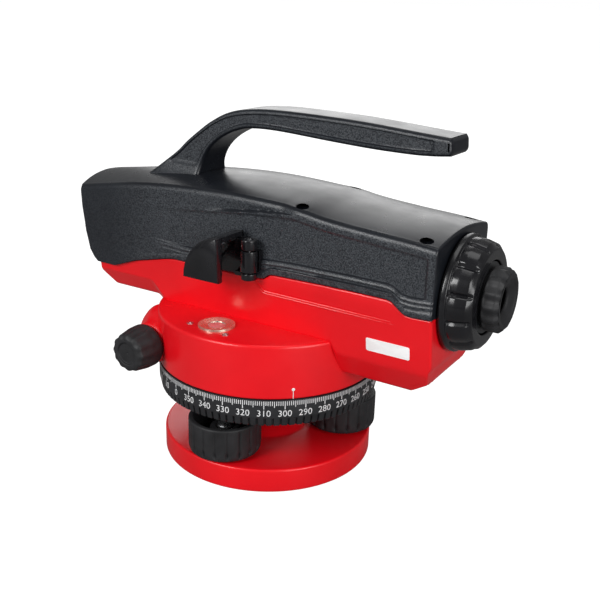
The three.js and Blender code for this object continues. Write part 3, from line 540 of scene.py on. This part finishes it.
# The handle rises from the nose end of the roof and reaches back over it: a rounded bar, flared at its foot, with a
# sunk textured strip along each side and a plain block at its free end.
HANDLE_TOP = [(-69, 131.0), (-63.3, 136.2), (-56.4, 141.7), (-49.5, 146.9), (-43.6, 152.2), (-36.2, 157.9),
              (-29.5, 162.5), (-20.2, 167.2), (-9, 169.9), (8, 171.0), (36, 170.6), (56, 169.7), (74, 168.4),
              (84, 167.7), (91.4, 167.2)]
HANDLE_UNDER = [(-36.5, 131.0), (-35.6, 136.2), (-34.6, 141.0), (-32.6, 146.0), (-29.8, 150.0), (-25.5, 153.9),
                (-20.2, 157.2), (-14.5, 159.6), (-7, 161.3), (8, 161.6), (36, 159.9), (56, 158.9), (74, 158.6),
                (84, 159.0), (92.0, 159.8)]
knots = np.linspace(0.0, 1.0, len(HANDLE_TOP))
along = np.linspace(0.0, 1.0, 180)
top, under = (np.stack([through(list(zip(knots, np.array(line)[:, k])), along) for k in (0, 1)], axis=-1)
              for line in (HANDLE_TOP, HANDLE_UNDER))
middle = (top + under) / 2
half = np.linalg.norm(top - under, axis=1) / 2
up = (top - under) / (2 * half[:, None])


def bar_ring(half_width, half_height, corner, per_side=14, per_corner=7):
    """Rounded rectangle (y, height) for each row along the bar, starting in the middle of its -y side."""
    turn = np.linspace(0, math.pi / 2, per_corner)
    w, h = half_width[:, None] - corner, half_height[:, None] - corner
    ring_y, ring_h = [], []
    for k, (sy, sh) in enumerate(((-1, 1), (1, 1), (1, -1), (-1, -1))):
        t = turn if k % 2 == 0 else turn[::-1]
        ring_y.append(sy * (w + corner * np.cos(t)))
        ring_h.append(sh * (h + corner * np.sin(t)))
        nxt = ((1, 1), (1, -1), (-1, -1), (-1, 1))[k]
        share = np.linspace(0, 1, per_side + 1)[1:-1]
        end_t = turn[0] if (k + 1) % 2 == 0 else turn[-1]
        y0, h0 = ring_y[-1][:, -1:], ring_h[-1][:, -1:]
        y1, h1 = nxt[0] * (w + corner * math.cos(end_t)), nxt[1] * (h + corner * math.sin(end_t))
        ring_y.append(y0 + (y1 - y0) * share)
        ring_h.append(h0 + (h1 - h0) * share)
    return np.concatenate(ring_y, axis=1), np.concatenate(ring_h, axis=1)


wide = 10.0 + 3.2 * np.clip(1 - (along - 0.05) / 0.14, 0, 1)**2
ring_y, ring_h = bar_ring(wide, half, 2.0)
on_side = np.abs(ring_y) > wide[:, None] - 0.6
sunk = 0.75 * step(along, 0.12, 0.16)[:, None] * (1 - step(along, 0.925, 0.935))[:, None]
sunk = sunk * (1 - step(np.abs(ring_h), half[:, None] - 2.6, half[:, None] - 1.9))
ring_y = ring_y - np.sign(ring_y) * sunk * on_side
bar = np.stack([middle[:, 0:1] + up[:, 0:1] * ring_h, ring_y, middle[:, 1:2] + up[:, 1:2] * ring_h], axis=-1)
caps = []
for turn in np.linspace(0.0, math.pi / 2, 7)[1:]:
    inward = 1.6 * (1 - math.cos(turn))
    shrink = 1 - inward / np.array([10.0, half[-1]])
    caps.append(np.stack([middle[-1, 0] + up[-1, 0] * ring_h[-1] * shrink[1] + 1.6 * math.sin(turn) - 1.2,
                          ring_y[-1] * shrink[0], middle[-1, 1] + up[-1, 1] * ring_h[-1] * shrink[1]], axis=-1))
bar[-1, :, 0] -= 1.2
flat_end = caps[-1]
centre_end = flat_end.mean(axis=0)
foot = bar[:1].mean(axis=1, keepdims=True).repeat(bar.shape[1], axis=1)
for share in (0.6, 0.25, 0.0):
    caps.append(centre_end + (flat_end - centre_end) * share)
piece("handle", [grid(np.concatenate([foot, bar, np.array(caps)]), wrap_v=True)], black_cast, "alidade")

# The hinge boss on the cover's flank carries the mirror hood's pin.
black_gloss = surface_finish("black moulding", (0.004, 0.004, 0.005), (0.009, 0.009, 0.011), (0.18, 0.28), 70.0,
                             (1400.0, 4e-6), Coat_Weight=0.15, Coat_Roughness=0.1, Specular_IOR_Level=0.4)
HINGE = (10.3, -33.2)
boss = rounded([(1.4, 102.2), (4.0, 102.2), (4.0, 112.1), (1.4, 112.1)], 0.6, 3, closed=True)
arm_y = np.linspace(-33.2, -28.0, 6)
arm_ring = np.array([(-3.9, 102.4), (-3.9, 111.9), (3.9, 111.9), (3.9, 102.4)])
arm = np.array([[(HINGE[0] + a, y, z) for a, z in arm_ring] for y in arm_y])
arm = np.concatenate([arm[:1].mean(axis=1, keepdims=True).repeat(4, axis=1), arm,
                      arm[-1:].mean(axis=1, keepdims=True).repeat(4, axis=1)])
# Boss and arm are black, and take the darker black moulding rather than the cover's cast enamel as painted shade for
# the hood's shadow that they sit in.
piece("hinge_boss", [revolve(boss, at=(*HINGE, 0), around=40)], black_gloss, "alidade")
piece("hinge_arm", [grid(arm + np.array([0, 1.9, 0]) * (arm[..., 1:2] < -33.0), wrap_v=True)], black_gloss, "alidade")

# ---- Cover screws ----
# Four socket-head screws of blackened steel, sunk in wells along the shoulders of the cover.
black_steel = surface_finish("blackened steel", (0.012, 0.012, 0.014), (0.03, 0.03, 0.034), (0.3, 0.45), 200.0,
                             (2500.0, 4e-6), Metallic=0.9)


def hexagon(across):
    """Radius shape of a six-sided socket, across its flats, for points inside radius 1.7 mm."""
    def shape(angle, radius, height):
        side = across / 2 / np.cos((angle + math.pi / 6) % (math.pi / 3) - math.pi / 6)
        return np.where((radius > 0.01) & (radius < 1.7), side * radius / 1.5, radius)
    return shape


screw_profile = rounded([(0, 120), (2.5, 120), (2.5, 129.2), (1.5, 129.2), (1.5, 127.2), (0, 127.2)], 0.25, 3)
for k, (x, y) in enumerate(SCREW_PLACES):
    drop = 0.0 if k < 2 else -4.6
    lowered = screw_profile + [0, drop]
    piece(f"cover_screw_{k + 1}", [revolve(lowered, at=(x, y, 0), around=48, shape=hexagon(2.6))], black_steel,
          "alidade", (f"cover_screw_{k + 1}",))

# ---- Levelling base ----
# Round red-enamelled casting, dished on top, with the tripod's screw hole through a raised hub.
base_profile = rounded([(7, 0), (52.7, 0), (52.7, 12), (46, 11.8), (20, 11.4), (13, 14.5), (7, 14.5)], 1.3, 6,
                       closed=True)
base = piece("levelling_base", [revolve(base_profile, around=256)], red_enamel, "base", ("base_plate",))
FOOT_CIRCLE = 37.5
feet = [(FOOT_CIRCLE * math.cos(math.radians(a)), FOOT_CIRCLE * math.sin(math.radians(a))) for a in (-90, 30, 150)]
SOCKET_R = 8.3
sink_wells(base, feet, [(0, 3.4), (SOCKET_R, 3.4), (SOCKET_R, 20), (0, 20)], 48, "base")

# ---- Foot screws' knobs ----
# Moulded black rubber over a steel screw: fine upright ribs, a teardrop dent at the foot of every third, and a deep
# open top round the screw.
rubber = surface_finish("black rubber", (0.010, 0.010, 0.011), (0.021, 0.021, 0.023), (0.48, 0.62), 120.0,
                        (2200.0, 1.2e-5), Specular_IOR_Level=0.35)


def ribbed(count, depth, low, high, bottom_radius):
    """Ribs round the outside: the radius dips in a narrow line between ribs, faded out at the knob's two edges."""
    def shape(angle, radius, height):
        part = (angle * count / (2 * math.pi)) % 1.0 - 0.5
        line = np.exp(-(part / 0.07)**2)
        inside = step(height, low, low + 2.0) * (1 - step(height, high - 2.2, high - 0.6))
        outside = radius > bottom_radius
        drop = (angle * count / (2 * math.pi)) % 1.0 - 0.5
        dent = 0.9 * np.exp(-(drop / 0.16)**2 - ((height - low - 3.0) / 1.5)**2)
        return radius - outside * (depth * line * inside + dent)
    return shape


def densify(profile, spacing, closed=False):
    """Extra points along each side of a profile, about spacing apart."""
    starts, ends = (profile, np.roll(profile, -1, axis=0)) if closed else (profile[:-1], profile[1:])
    dense = []
    for a, b in zip(starts, ends):
        count = max(1, int(np.hypot(*(b - a)) / spacing))
        dense += [a + (b - a) * k / count for k in range(count)]
    return np.array(dense if closed else dense + [profile[-1]])


knob_profile = rounded([(4.3, 13.0), (16.8, 13.0), (17.5, 15.0), (17.45, 29.7), (14.9, 29.7), (14.3, 19.6), (8, 18.4),
                        (7.2, 24), (4.3, 24)], 0.9, 5, closed=True)
knob_profile = densify(knob_profile, 0.8, closed=True)
for k, (x, y) in enumerate(feet):
    piece(f"foot_knob_{k + 1}",
          [revolve(knob_profile, at=(x, y, 0), around=288, shape=ribbed(18, 0.45, 13.0, 29.7, 16.0))], rubber,
          f"foot_screw_{k + 1}", (f"foot_knob_{k + 1}",), sharp=50)

# ---- Tangent screw's knobs ----
# A black rubber knob on each end of the worm shaft, scalloped like a shell, with a sunk disc in its end.
fine_profile = rounded([(3.3, 46.5), (9.6, 46.5), (10.5, 47.8), (10.4, 53), (9.2, 60.4), (7.6, 61.6), (5.4, 61.6),
                        (5.2, 60.6), (0, 60.6), (0, 58.9), (3.3, 58.9)], 0.7, 4)
fine_profile = densify(fine_profile, 0.8)


def scalloped(count, depth, start, end, above):
    """Round-bottomed flutes that deepen from start to end along the axis."""
    def shape(angle, radius, height):
        wave = np.abs(np.cos(angle * count / 2))**2.2
        along_axis = step(np.abs(height), start, end)
        return radius - (radius > above) * depth * (1 - wave) * along_axis
    return shape


for side, word in ((-1, "left"), (1, "right")):
    piece(f"fine_knob_{word}", [revolve(fine_profile * [1, side], "y", TANGENT_AT, 192,
                                        scalloped(12, 0.55, 48.5, 51.5, 6.4))],
          rubber, "tangent", (f"fine_knob_{word}",), sharp=50)

# ---- Focus knob ----
# Large black rubber knob on the far flank, with the same flutes, over the hub of the pinion's shaft.
focus_profile = rounded([(3.3, 30.6), (13.2, 30.6), (14.1, 32), (14.0, 43), (12.6, 44.7), (8.4, 44.7), (8.0, 43.9),
                         (0, 43.9), (0, 42.4), (3.3, 42.4)], 0.9, 4)
focus_profile = densify(focus_profile, 0.9)
piece("focus_knob", [revolve(focus_profile, "y", (20, 0, 90), 216, scalloped(18, 0.8, 32.0, 35.0, 9.0))], rubber,
      "focus_drive", ("focus_knob",), sharp=50)

# ---- Graduated circle ----
# Black-anodised ring that turns by hand below the turret: slots round its foot for grip, and degree marks and
# numbers filled with silver-white paint.
anodised = surface_finish("black anodised", (0.018, 0.019, 0.021), (0.032, 0.033, 0.036), (0.34, 0.46), 90.0,
                          (2600.0, 5e-6), Metallic=0.35)
CIRCLE_R = 55.0


def around_axis(azimuth, z, radius):
    """Points at an azimuth, height and radius about the vertical axis."""
    return np.stack([radius * np.cos(azimuth), radius * np.sin(azimuth), z], axis=-1)


def circle_slots(angle, radius, height):
    """Ninety-six upright slots, cut into the tapered foot of the ring from outside."""
    part = (angle * 96 / (2 * math.pi)) % 1.0 - 0.5
    slot = 1 - step(np.abs(part), 0.09, 0.17)
    return radius - 0.9 * slot * (radius > 53.4) * (1 - step(height, 39.2, 39.9))


ring_profile = rounded([(51.6, 35.7), (54.1, 35.7), (CIRCLE_R, 40.2), (CIRCLE_R, 48.8), (52.6, 48.8), (52.4, 42.9),
                        (46.4, 42.9), (46.4, 40.7), (51.2, 40.7)], 0.35, 3, closed=True)
foot_part = np.array([(54.1 + 0.9 * t, 36.0 + 4.2 * t) for t in (0.15, 0.35, 0.55, 0.75, 0.79, 0.83, 0.9)])
split = int(np.argmax((ring_profile[:, 0] > 54.1) & (ring_profile[:, 1] > 39)))
ring_profile = np.concatenate([ring_profile[:split], foot_part, ring_profile[split:]])
piece("graduated_circle", [revolve(ring_profile, around=1152, shape=circle_slots)], anodised, "circle",
      ("graduated_circle",))

silver_fill = surface_finish("silver fill", (0.62, 0.63, 0.64), (0.82, 0.82, 0.82), (0.35, 0.5), 300.0, (3000.0, 4e-6))
ZERO_AT = math.radians(-108.7)    # azimuth of the circle's zero mark
degree = np.arange(360)
height = np.where(degree % 10 == 0, 3.9, np.where(degree % 5 == 0, 3.0, 2.1))
width = np.where(degree % 10 == 0, 0.40, 0.34)
tick_azimuth = ZERO_AT - np.radians(degree)
corner_a = np.array([-1, 1, 1, -1]) / 2
corner_z = np.array([0, 0, 1, 1])
a = tick_azimuth[:, None] + corner_a[None, :] * width[:, None] / CIRCLE_R
z = 48.35 - corner_z[None, :] * height[:, None]
corners = np.concatenate([around_axis(a, z, CIRCLE_R + 0.06), around_axis(a, z, CIRCLE_R - 0.2)], axis=1)
block = np.array([[0, 1, 2, 3], [7, 6, 5, 4], [0, 4, 5, 1], [1, 5, 6, 2], [2, 6, 7, 3], [3, 7, 4, 0]])
tick_faces = (block[None] + 8 * degree[:, None, None]).reshape(-1, 4)
piece("degree_marks", [(corners.reshape(-1, 3), tick_faces)], silver_fill, "circle")

number_verts, number_faces, start = [], [], 0
for value in range(0, 360, 10):
    letters = bpy.data.curves.new("number", "FONT")
    letters.body = str(value)
    letters.size, letters.extrude, letters.resolution_u = 4.4, 0.13, 3
    letters.align_x = "CENTER"
    drawn = bpy.data.objects.new("number", letters)
    bpy.context.scene.collection.objects.link(drawn)
    flat = bpy.data.meshes.new_from_object(drawn.evaluated_get(bpy.context.evaluated_depsgraph_get()))
    co = np.empty(len(flat.vertices) * 3, dtype=np.float32)
    flat.vertices.foreach_get("co", co)
    co = co.reshape(-1, 3)
    azimuth = ZERO_AT - math.radians(value) + co[:, 0] / CIRCLE_R
    radius = CIRCLE_R - 0.07 + co[:, 2]
    number_verts.append(around_axis(azimuth, 40.85 + co[:, 1], radius))
    number_faces += [[start + v for v in face.vertices] for face in flat.polygons]
    start += len(co)
    bpy.data.objects.remove(drawn)
    bpy.data.meshes.remove(flat)
number_mesh = bpy.data.meshes.new("circle numbers")
number_mesh.from_pydata(((np.concatenate(number_verts) + [AXIS_X, 0, 0]) * MM).tolist(), [], number_faces)
tidy_mesh(number_mesh, True)
number_mesh.set_sharp_from_angle(angle=math.radians(30))
number_mesh.materials.append(silver_fill)
numbers = bpy.data.objects.new("circle_numbers", number_mesh)
bpy.context.scene.collection.objects.link(numbers)
settle(numbers, "circle", ())

# The turret's index: a dot and a fine line of silver paint above the circle.
index_at = math.radians(-45.0)
ia, iz = index_at + corner_a * 0.3 / TURRET_R, 49.4 + corner_z * 4.2
index_line = np.concatenate([around_axis(ia, iz, TURRET_R + 0.07), around_axis(ia, iz, TURRET_R - 0.2)])
dot_turn = np.linspace(0, 2 * math.pi, 20, endpoint=False)
dot = np.array([[(TURRET_R + lift, index_at + r * math.cos(t) / TURRET_R, 53.9 + r * math.sin(t)) for t in dot_turn]
                for r, lift in ((0.001, -0.2), (0.75, -0.2), (0.75, 0.05), (0.5, 0.14), (0.001, 0.16))])
dot = around_axis(dot[..., 1], dot[..., 2], dot[..., 0])
piece("index_mark", [(index_line, block), grid(dot, wrap_v=True)], silver_fill, "alidade")

# ---- Round bubble ----
# A champagne-anodised cell let into the shelf, with a domed glass vial over a pale floor, a black centring ring and
# a bubble; two slotted screws tilt the cell.
BUBBLE = (-3.3, -39.4)
champagne = surface_finish("champagne anodised", (0.60, 0.54, 0.42), (0.74, 0.68, 0.56), (0.22, 0.34), 220.0,
                           (3000.0, 4e-6), Metallic=0.85)
cell_profile = rounded([(0, 67.6), (8.6, 67.6), (8.6, 76.1), (7.7, 76.1), (4.1, 75.5), (4.1, 70.5), (0, 70.5)], 0.3, 3)
piece("bubble_cell", [revolve(cell_profile, at=(*BUBBLE, 0), around=96)], champagne, "alidade",
      ("bubble_cell",))
liquid = surface_finish("vial floor", (0.74, 0.69, 0.64), (0.84, 0.79, 0.74), (0.25, 0.4), 150.0, (1500.0, 2e-6))
floor_profile = [(0, 70.9), (4.0, 70.9), (4.0, 74.7), (2.2, 74.75), (0, 74.8)]
piece("vial_floor", [revolve(floor_profile, at=(*BUBBLE, 0), around=64)], liquid, "alidade")
ring = rounded([(2.0, 74.72), (2.3, 74.72), (2.3, 74.86), (2.0, 74.86)], 0.03, 2, closed=True)
piece("centring_ring", [revolve(ring, at=(*BUBBLE, 0), around=72)], black_steel, "alidade")
clear_glass = surface_finish("clear glass", (0.90, 0.94, 0.94), (0.95, 0.98, 0.98), (0.02, 0.05), 50.0, (400.0, 1e-7),
                             Alpha=0.2, IOR=1.5)
lens_profile = [(0, 74.9), (4.05, 74.9), (4.05, 75.25), (3.0, 75.5), (1.5, 75.65), (0, 75.7)]
piece("bubble_vial", [revolve(lens_profile, at=(*BUBBLE, 0), around=72)], clear_glass, "alidade",
      ("bubble_vial",))
steel = surface_finish("turned steel", (0.42, 0.43, 0.45), (0.56, 0.57, 0.58), (0.22, 0.36), 260.0, (3500.0, 3e-6),
                       Metallic=1.0)
for k, (x, y) in enumerate(((-15.2, -44.0), (6.7, -46.2))):
    head = rounded([(0, 69.5), (1.6, 69.5), (1.6, 75.3), (0.5, 75.3), (0.4, 74.7), (0, 74.7)], 0.2, 3)
    piece(f"bubble_screw_{k + 1}", [revolve(head, at=(x, y, 0), around=32)], steel, "alidade",
          (f"bubble_screw_{k + 1}",))

# ---- Mirror hood ----
# A black moulded hood on a vertical pin: an outer cheek with a quarter-round back, a wall that closes it behind and
# above, and a mirror at 45 degrees inside that shows the bubble to an observer at the eyepiece.
back_turn = np.linspace(0.0, math.pi / 2, 22)


def hood_back(offset):
    """Back and top of the hood from its lower rear corner round to the front of its top, set in by offset."""
    a, b = 19.2 - offset, 20.4 - offset
    x = 5.5 - a * np.cos(back_turn)
    z = 99.6 + b * np.sin(back_turn)
    return np.stack([x, z], axis=-1)


outer_back, inner_back = hood_back(0.0), hood_back(2.3)
cheek = np.concatenate([outer_back, [[5.5, 99.6]]])


def plate(outline, y0, y1, edge=0.5):
    """A flat plate in the plane of x and z between y0 and y1, its outline's corners eased by edge."""
    loops = []
    middle_point = outline.mean(axis=0)
    reach = np.linalg.norm(outline - middle_point, axis=1, keepdims=True)
    for share, y in ((None, y0), (edge, y0), (edge * 0.3, y0 + edge * 0.3), (0, y0 + edge), (0, y1 - edge),
                     (edge * 0.3, y1 - edge * 0.3), (edge, y1), (None, y1)):
        flat = middle_point + (outline - middle_point) * (0.0 if share is None else (1 - share / reach))
        loops.append(np.column_stack([flat[:, 0], np.full(len(flat), y), flat[:, 1]]))
    return grid(np.array(loops), wrap_v=True)


wall_loop = np.concatenate([outer_back, inner_back[::-1]])


def bent_wall(y0, y1):
    """The curved back wall between the cheeks."""
    rows = [np.column_stack([wall_loop[:, 0], np.full(len(wall_loop), y), wall_loop[:, 1]]) for y in (y0, y1)]
    faces_verts, faces_quads = grid(np.array(rows), wrap_v=True)
    n, m = len(outer_back), len(wall_loop)
    i = np.arange(n - 1)
    side = np.stack([i, i + 1, m - 2 - i, m - 1 - i], axis=-1)
    return faces_verts, np.concatenate([faces_quads, side[:, ::-1], side + m])


def knuckle(z0, z1):
    """A sleeve of the hood round the hinge pin."""
    ends = rounded([(1.5, z0), (3.7, z0), (3.7, z1), (1.5, z1)], 0.5, 3, closed=True)
    return revolve(ends, at=(*HINGE, 0), around=40)


def tongue(z0, z1):
    """A flat lug that joins a sleeve to the hood."""
    loop = np.array([(3.2, z0), (3.2, z1), (9.4, z1), (9.4, z0)])
    rows = [np.column_stack([loop[:, 0], np.full(4, y), loop[:, 1]]) for y in (-34.4, -30.5)]
    ends = [row.mean(axis=0, keepdims=True).repeat(4, axis=0) for row in rows]
    return grid(np.array([ends[0], *rows, ends[1]]), wrap_v=True)


piece("mirror_hood", [plate(cheek, -50.7, -46.2, 1.2), bent_wall(-46.9, -30.7), plate(cheek, -32.2, -30.4, 0.5),
                      knuckle(112.5, 117.2), knuckle(98.6, 101.8), tongue(112.7, 117.0), tongue(99.7, 101.6)],
      black_gloss, "hood", ("mirror_hood",), sharp=40)
mirror_silver = surface_finish("mirror silver", (0.78, 0.80, 0.81), (0.86, 0.87, 0.88), (0.02, 0.06), 60.0,
                               (500.0, 1e-7), Metallic=1.0)
glass_line = np.array([(-11.2, 100.6), (4.2, 116.4), (4.2, 117.4), (-11.2, 101.8)])
piece("bubble_mirror", [plate(glass_line, -46.1, -34.9, 0.05)], mirror_silver, "hood", ("bubble_mirror",),
      sharp=20)
pin = rounded([(0, 98.2), (1.2, 98.2), (1.2, 117.0), (0, 117.0)], 0.3, 3)
piece("hinge_pin", [revolve(pin, at=(*HINGE, 0), around=24)], steel, "hood", ("hinge_pin",))

# ---- Label ----
# A blank white adhesive plate with rounded corners on the housing's flank.
label_white = surface_finish("label white", (0.93, 0.93, 0.93), (0.96, 0.96, 0.96), (0.35, 0.5), 400.0, (1200.0, 3e-6))
turn = np.linspace(0, math.pi / 2, 6)
quarter = [(np.cos(turn + k * math.pi / 2), np.sin(turn + k * math.pi / 2)) for k in range(4)]
lu = np.concatenate([sx * 9.5 + 0.8 * c for (c, s), sx in zip(quarter, (1, -1, -1, 1))])
lv = np.concatenate([sz * 2.3 + 0.8 * s for (c, s), sz in zip(quarter, (1, 1, -1, -1))])
label_rows = []
for scale, lift in ((0.0, -0.3), (1.0, -0.3), (1.0, 0.12), (0.985, 0.2), (0.0, 0.2)):
    slope = (29 - 24.6) / (98 - 69.8)
    zz = 78.6 + lv * scale
    flank_y = 24.6 + (zz - 69.8) * slope
    label_rows.append(np.stack([77.4 + lu * scale, -(flank_y + lift), zz], axis=-1))
piece("label_plate", [grid(np.array(label_rows), wrap_v=True)], label_white, "alidade", ("label_plate",))

# ---- Eyepiece ----
# A screwed cover with twelve scalloped lobes and a thin flange, and in front of it the fluted dioptre ring with its
# dished front round the eye lens.
def lobed(angle, radius, height):
    """Twelve lobes with grooves between them, on the part outside the bore and in front of the flange."""
    part = np.abs((angle * 12 / (2 * math.pi)) % 1.0 - 0.5) * 2
    groove = 1 - step(part, 0.0, 0.26)
    bulge = 0.35 * np.cos(part * math.pi)
    on_body = step(height, EYE_FLANGE, EYE_FLANGE + 0.8) * (radius > 19.0) * (1 - step(height, 109.5, 111.0))
    return radius - on_body * (1.2 * groove + bulge)


EYE_FLANGE = 101.2
lobe_profile = rounded([(16.3, 98.1), (25.6, 98.1), (26.0, 99.0), (25.7, 101.0), (24.6, 101.3), (24.4, 104.5),
                        (23.2, 109.0), (21.0, 111.2), (16.3, 111.2)], 0.5, 4, closed=True)
lobe_profile = densify(lobe_profile, 0.7, closed=True)
piece("eyepiece_cover", [revolve(lobe_profile, "x", (0, 0, OPTICAL_Z), 384, lobed)], black_gloss, "eyepiece_cover",
      ("eyepiece_cover",), sharp=45)
dioptre_profile = rounded([(10.2, 98), (12, 98), (12, 111.4), (13.4, 111.5), (14.3, 112.6), (14.2, 117.4),
                           (12.4, 119.3), (10.4, 119.3), (9.6, 118.6), (6.0, 117.0), (5.6, 116.4), (5.6, 115.6),
                           (10.2, 115.6)], 0.4, 3, closed=True)
dioptre_profile = densify(dioptre_profile, 0.6, closed=True)
piece("dioptre_ring", [revolve(dioptre_profile, "x", (0, 0, OPTICAL_Z), 256, scalloped(14, 1.0, 112.2, 113.4, 12.2))],
      rubber, "dioptre", ("dioptre_ring",), sharp=45)

# ---- Pieces that show as they were made ----
# Machined metal, nylon and glass, mostly inside: each keeps its form and gets its finish here.
brass = surface_finish("turned brass", (0.50, 0.34, 0.10), (0.66, 0.47, 0.17), (0.24, 0.38), 180.0, (3000.0, 4e-6),
                       Metallic=1.0)
alloy = surface_finish("milled aluminium", (0.52, 0.53, 0.54), (0.66, 0.67, 0.68), (0.3, 0.44), 150.0, (2500.0, 5e-6),
                       Metallic=1.0)
nylon = surface_finish("white nylon", (0.62, 0.60, 0.54), (0.74, 0.72, 0.66), (0.4, 0.55), 100.0, (1200.0, 8e-6))
coated = surface_finish("coated glass", (0.80, 0.86, 0.92), (0.86, 0.90, 0.95), (0.02, 0.05), 50.0, (400.0, 1e-7),
                        Transmission_Weight=1.0, IOR=1.52)
finishes = {"steel": steel, "brass": brass, "aluminium": alloy, "nylon": nylon, "glass": coated,
            "black_metal": anodised, "rubber": rubber, "black_plastic": black_gloss, "black_paint": black_cast,
            "red_paint": red_enamel, "mirror": mirror_silver, "label": label_white}
slots = {part["node"]: part["material_slot"] for part in frame["record"]["subparts"]}
for name, node in frame["nodes"].items():
    node.data.materials.clear()
    node.data.materials.append(finishes[slots[name]])

# ---- Studio ----
# A plain pale floor that runs out to white, with broad soft lights over and beside the instrument.
scene = bpy.context.scene
floor_paint = surface_finish("studio floor", (0.20, 0.20, 0.20), (0.22, 0.22, 0.22), (0.7, 0.8), 3.0, (40.0, 1e-5),
                             Emission_Color=(1.0, 1.0, 1.0, 1.0))
floor_nodes, floor_link = floor_paint.node_tree.nodes, floor_paint.node_tree.links.new
looked_at, glow = floor_nodes.new("ShaderNodeLightPath"), floor_nodes.new("ShaderNodeMapRange")
glow.inputs["To Min"].default_value, glow.inputs["To Max"].default_value = 0.0, 0.96
floor_link(looked_at.outputs["Is Camera Ray"], glow.inputs["Value"])
floor_link(glow.outputs[0], floor_nodes["Principled BSDF"].inputs["Emission Strength"])
floor_mesh = bpy.data.meshes.new("floor")
reach = 60.0
floor_mesh.from_pydata([(-reach, -reach, -0.0002), (reach, -reach, -0.0002), (reach, reach, -0.0002),
                        (-reach, reach, -0.0002)],
                       [], [(0, 1, 2, 3)])
floor_mesh.materials.append(floor_paint)
floor = bpy.data.objects.new("floor", floor_mesh)
scene.collection.objects.link(floor)


def area_light(name, place, aim, size, power):
    lamp = bpy.data.lights.new(name, "AREA")
    lamp.shape, lamp.size, lamp.energy = "SQUARE", size, power
    made = bpy.data.objects.new(name, lamp)
    scene.collection.objects.link(made)
    made.location = place
    made.visible_camera = False
    ahead = np.array(aim, float) - np.array(place, float)
    made.rotation_euler = mathutils.Vector(ahead).to_track_quat("-Z", "Y").to_euler()


area_light("key", (-0.35, -1.2, 0.75), (0, 0, 0.08), 0.6, 14.0)
area_light("fill", (1.2, -0.5, 0.42), (0, 0, 0.08), 0.7, 10.0)
area_light("top", (0.2, 0.15, 1.3), (0, 0, 0.1), 0.8, 4.0)
area_light("sheen", (-0.62, 1.15, 0.62), (0, 0, 0.12), 0.9, 4.5)
world = bpy.data.worlds.new("studio")
world.use_nodes = True
sky, sky_link = world.node_tree.nodes, world.node_tree.links.new
seen, strength = sky.new("ShaderNodeLightPath"), sky.new("ShaderNodeMapRange")
strength.inputs["To Min"].default_value, strength.inputs["To Max"].default_value = 0.22, 1.0
sky_link(seen.outputs["Is Camera Ray"], strength.inputs["Value"])
sky_link(strength.outputs[0], sky["Background"].inputs["Strength"])
sky["Background"].inputs["Color"].default_value = (1.0, 1.0, 1.0, 1.0)
scene.world = world
scene.view_settings.view_transform = "Standard"

# The camera stands a third of a metre off, to the right of the front and a little above.
azimuth, elevation, roll = math.radians(31.359), math.radians(19.522), math.radians(1.679)
back = np.array([math.sin(azimuth) * math.cos(elevation), -math.cos(azimuth) * math.cos(elevation),
                 math.sin(elevation)])
right = np.array([math.cos(azimuth), math.sin(azimuth), 0.0])
upward = np.cross(back, right)
right_rolled = right * math.cos(roll) + upward * math.sin(roll)
up_rolled = -right * math.sin(roll) + upward * math.cos(roll)
place = np.array([219.173 + AXIS_X, -331.317, 218.134]) * MM
camera_data = bpy.data.cameras.new("camera")
camera_data.lens, camera_data.sensor_width = 51.0, 36.0
camera = bpy.data.objects.new("camera", camera_data)
scene.collection.objects.link(camera)
camera.matrix_world = mathutils.Matrix([[*row, p] for row,
                                        p in zip(np.column_stack([right_rolled, up_rolled, back]).tolist(),
                                                                    place.tolist())] + [[0.0, 0.0, 0.0, 1.0]])
scene.camera = camera
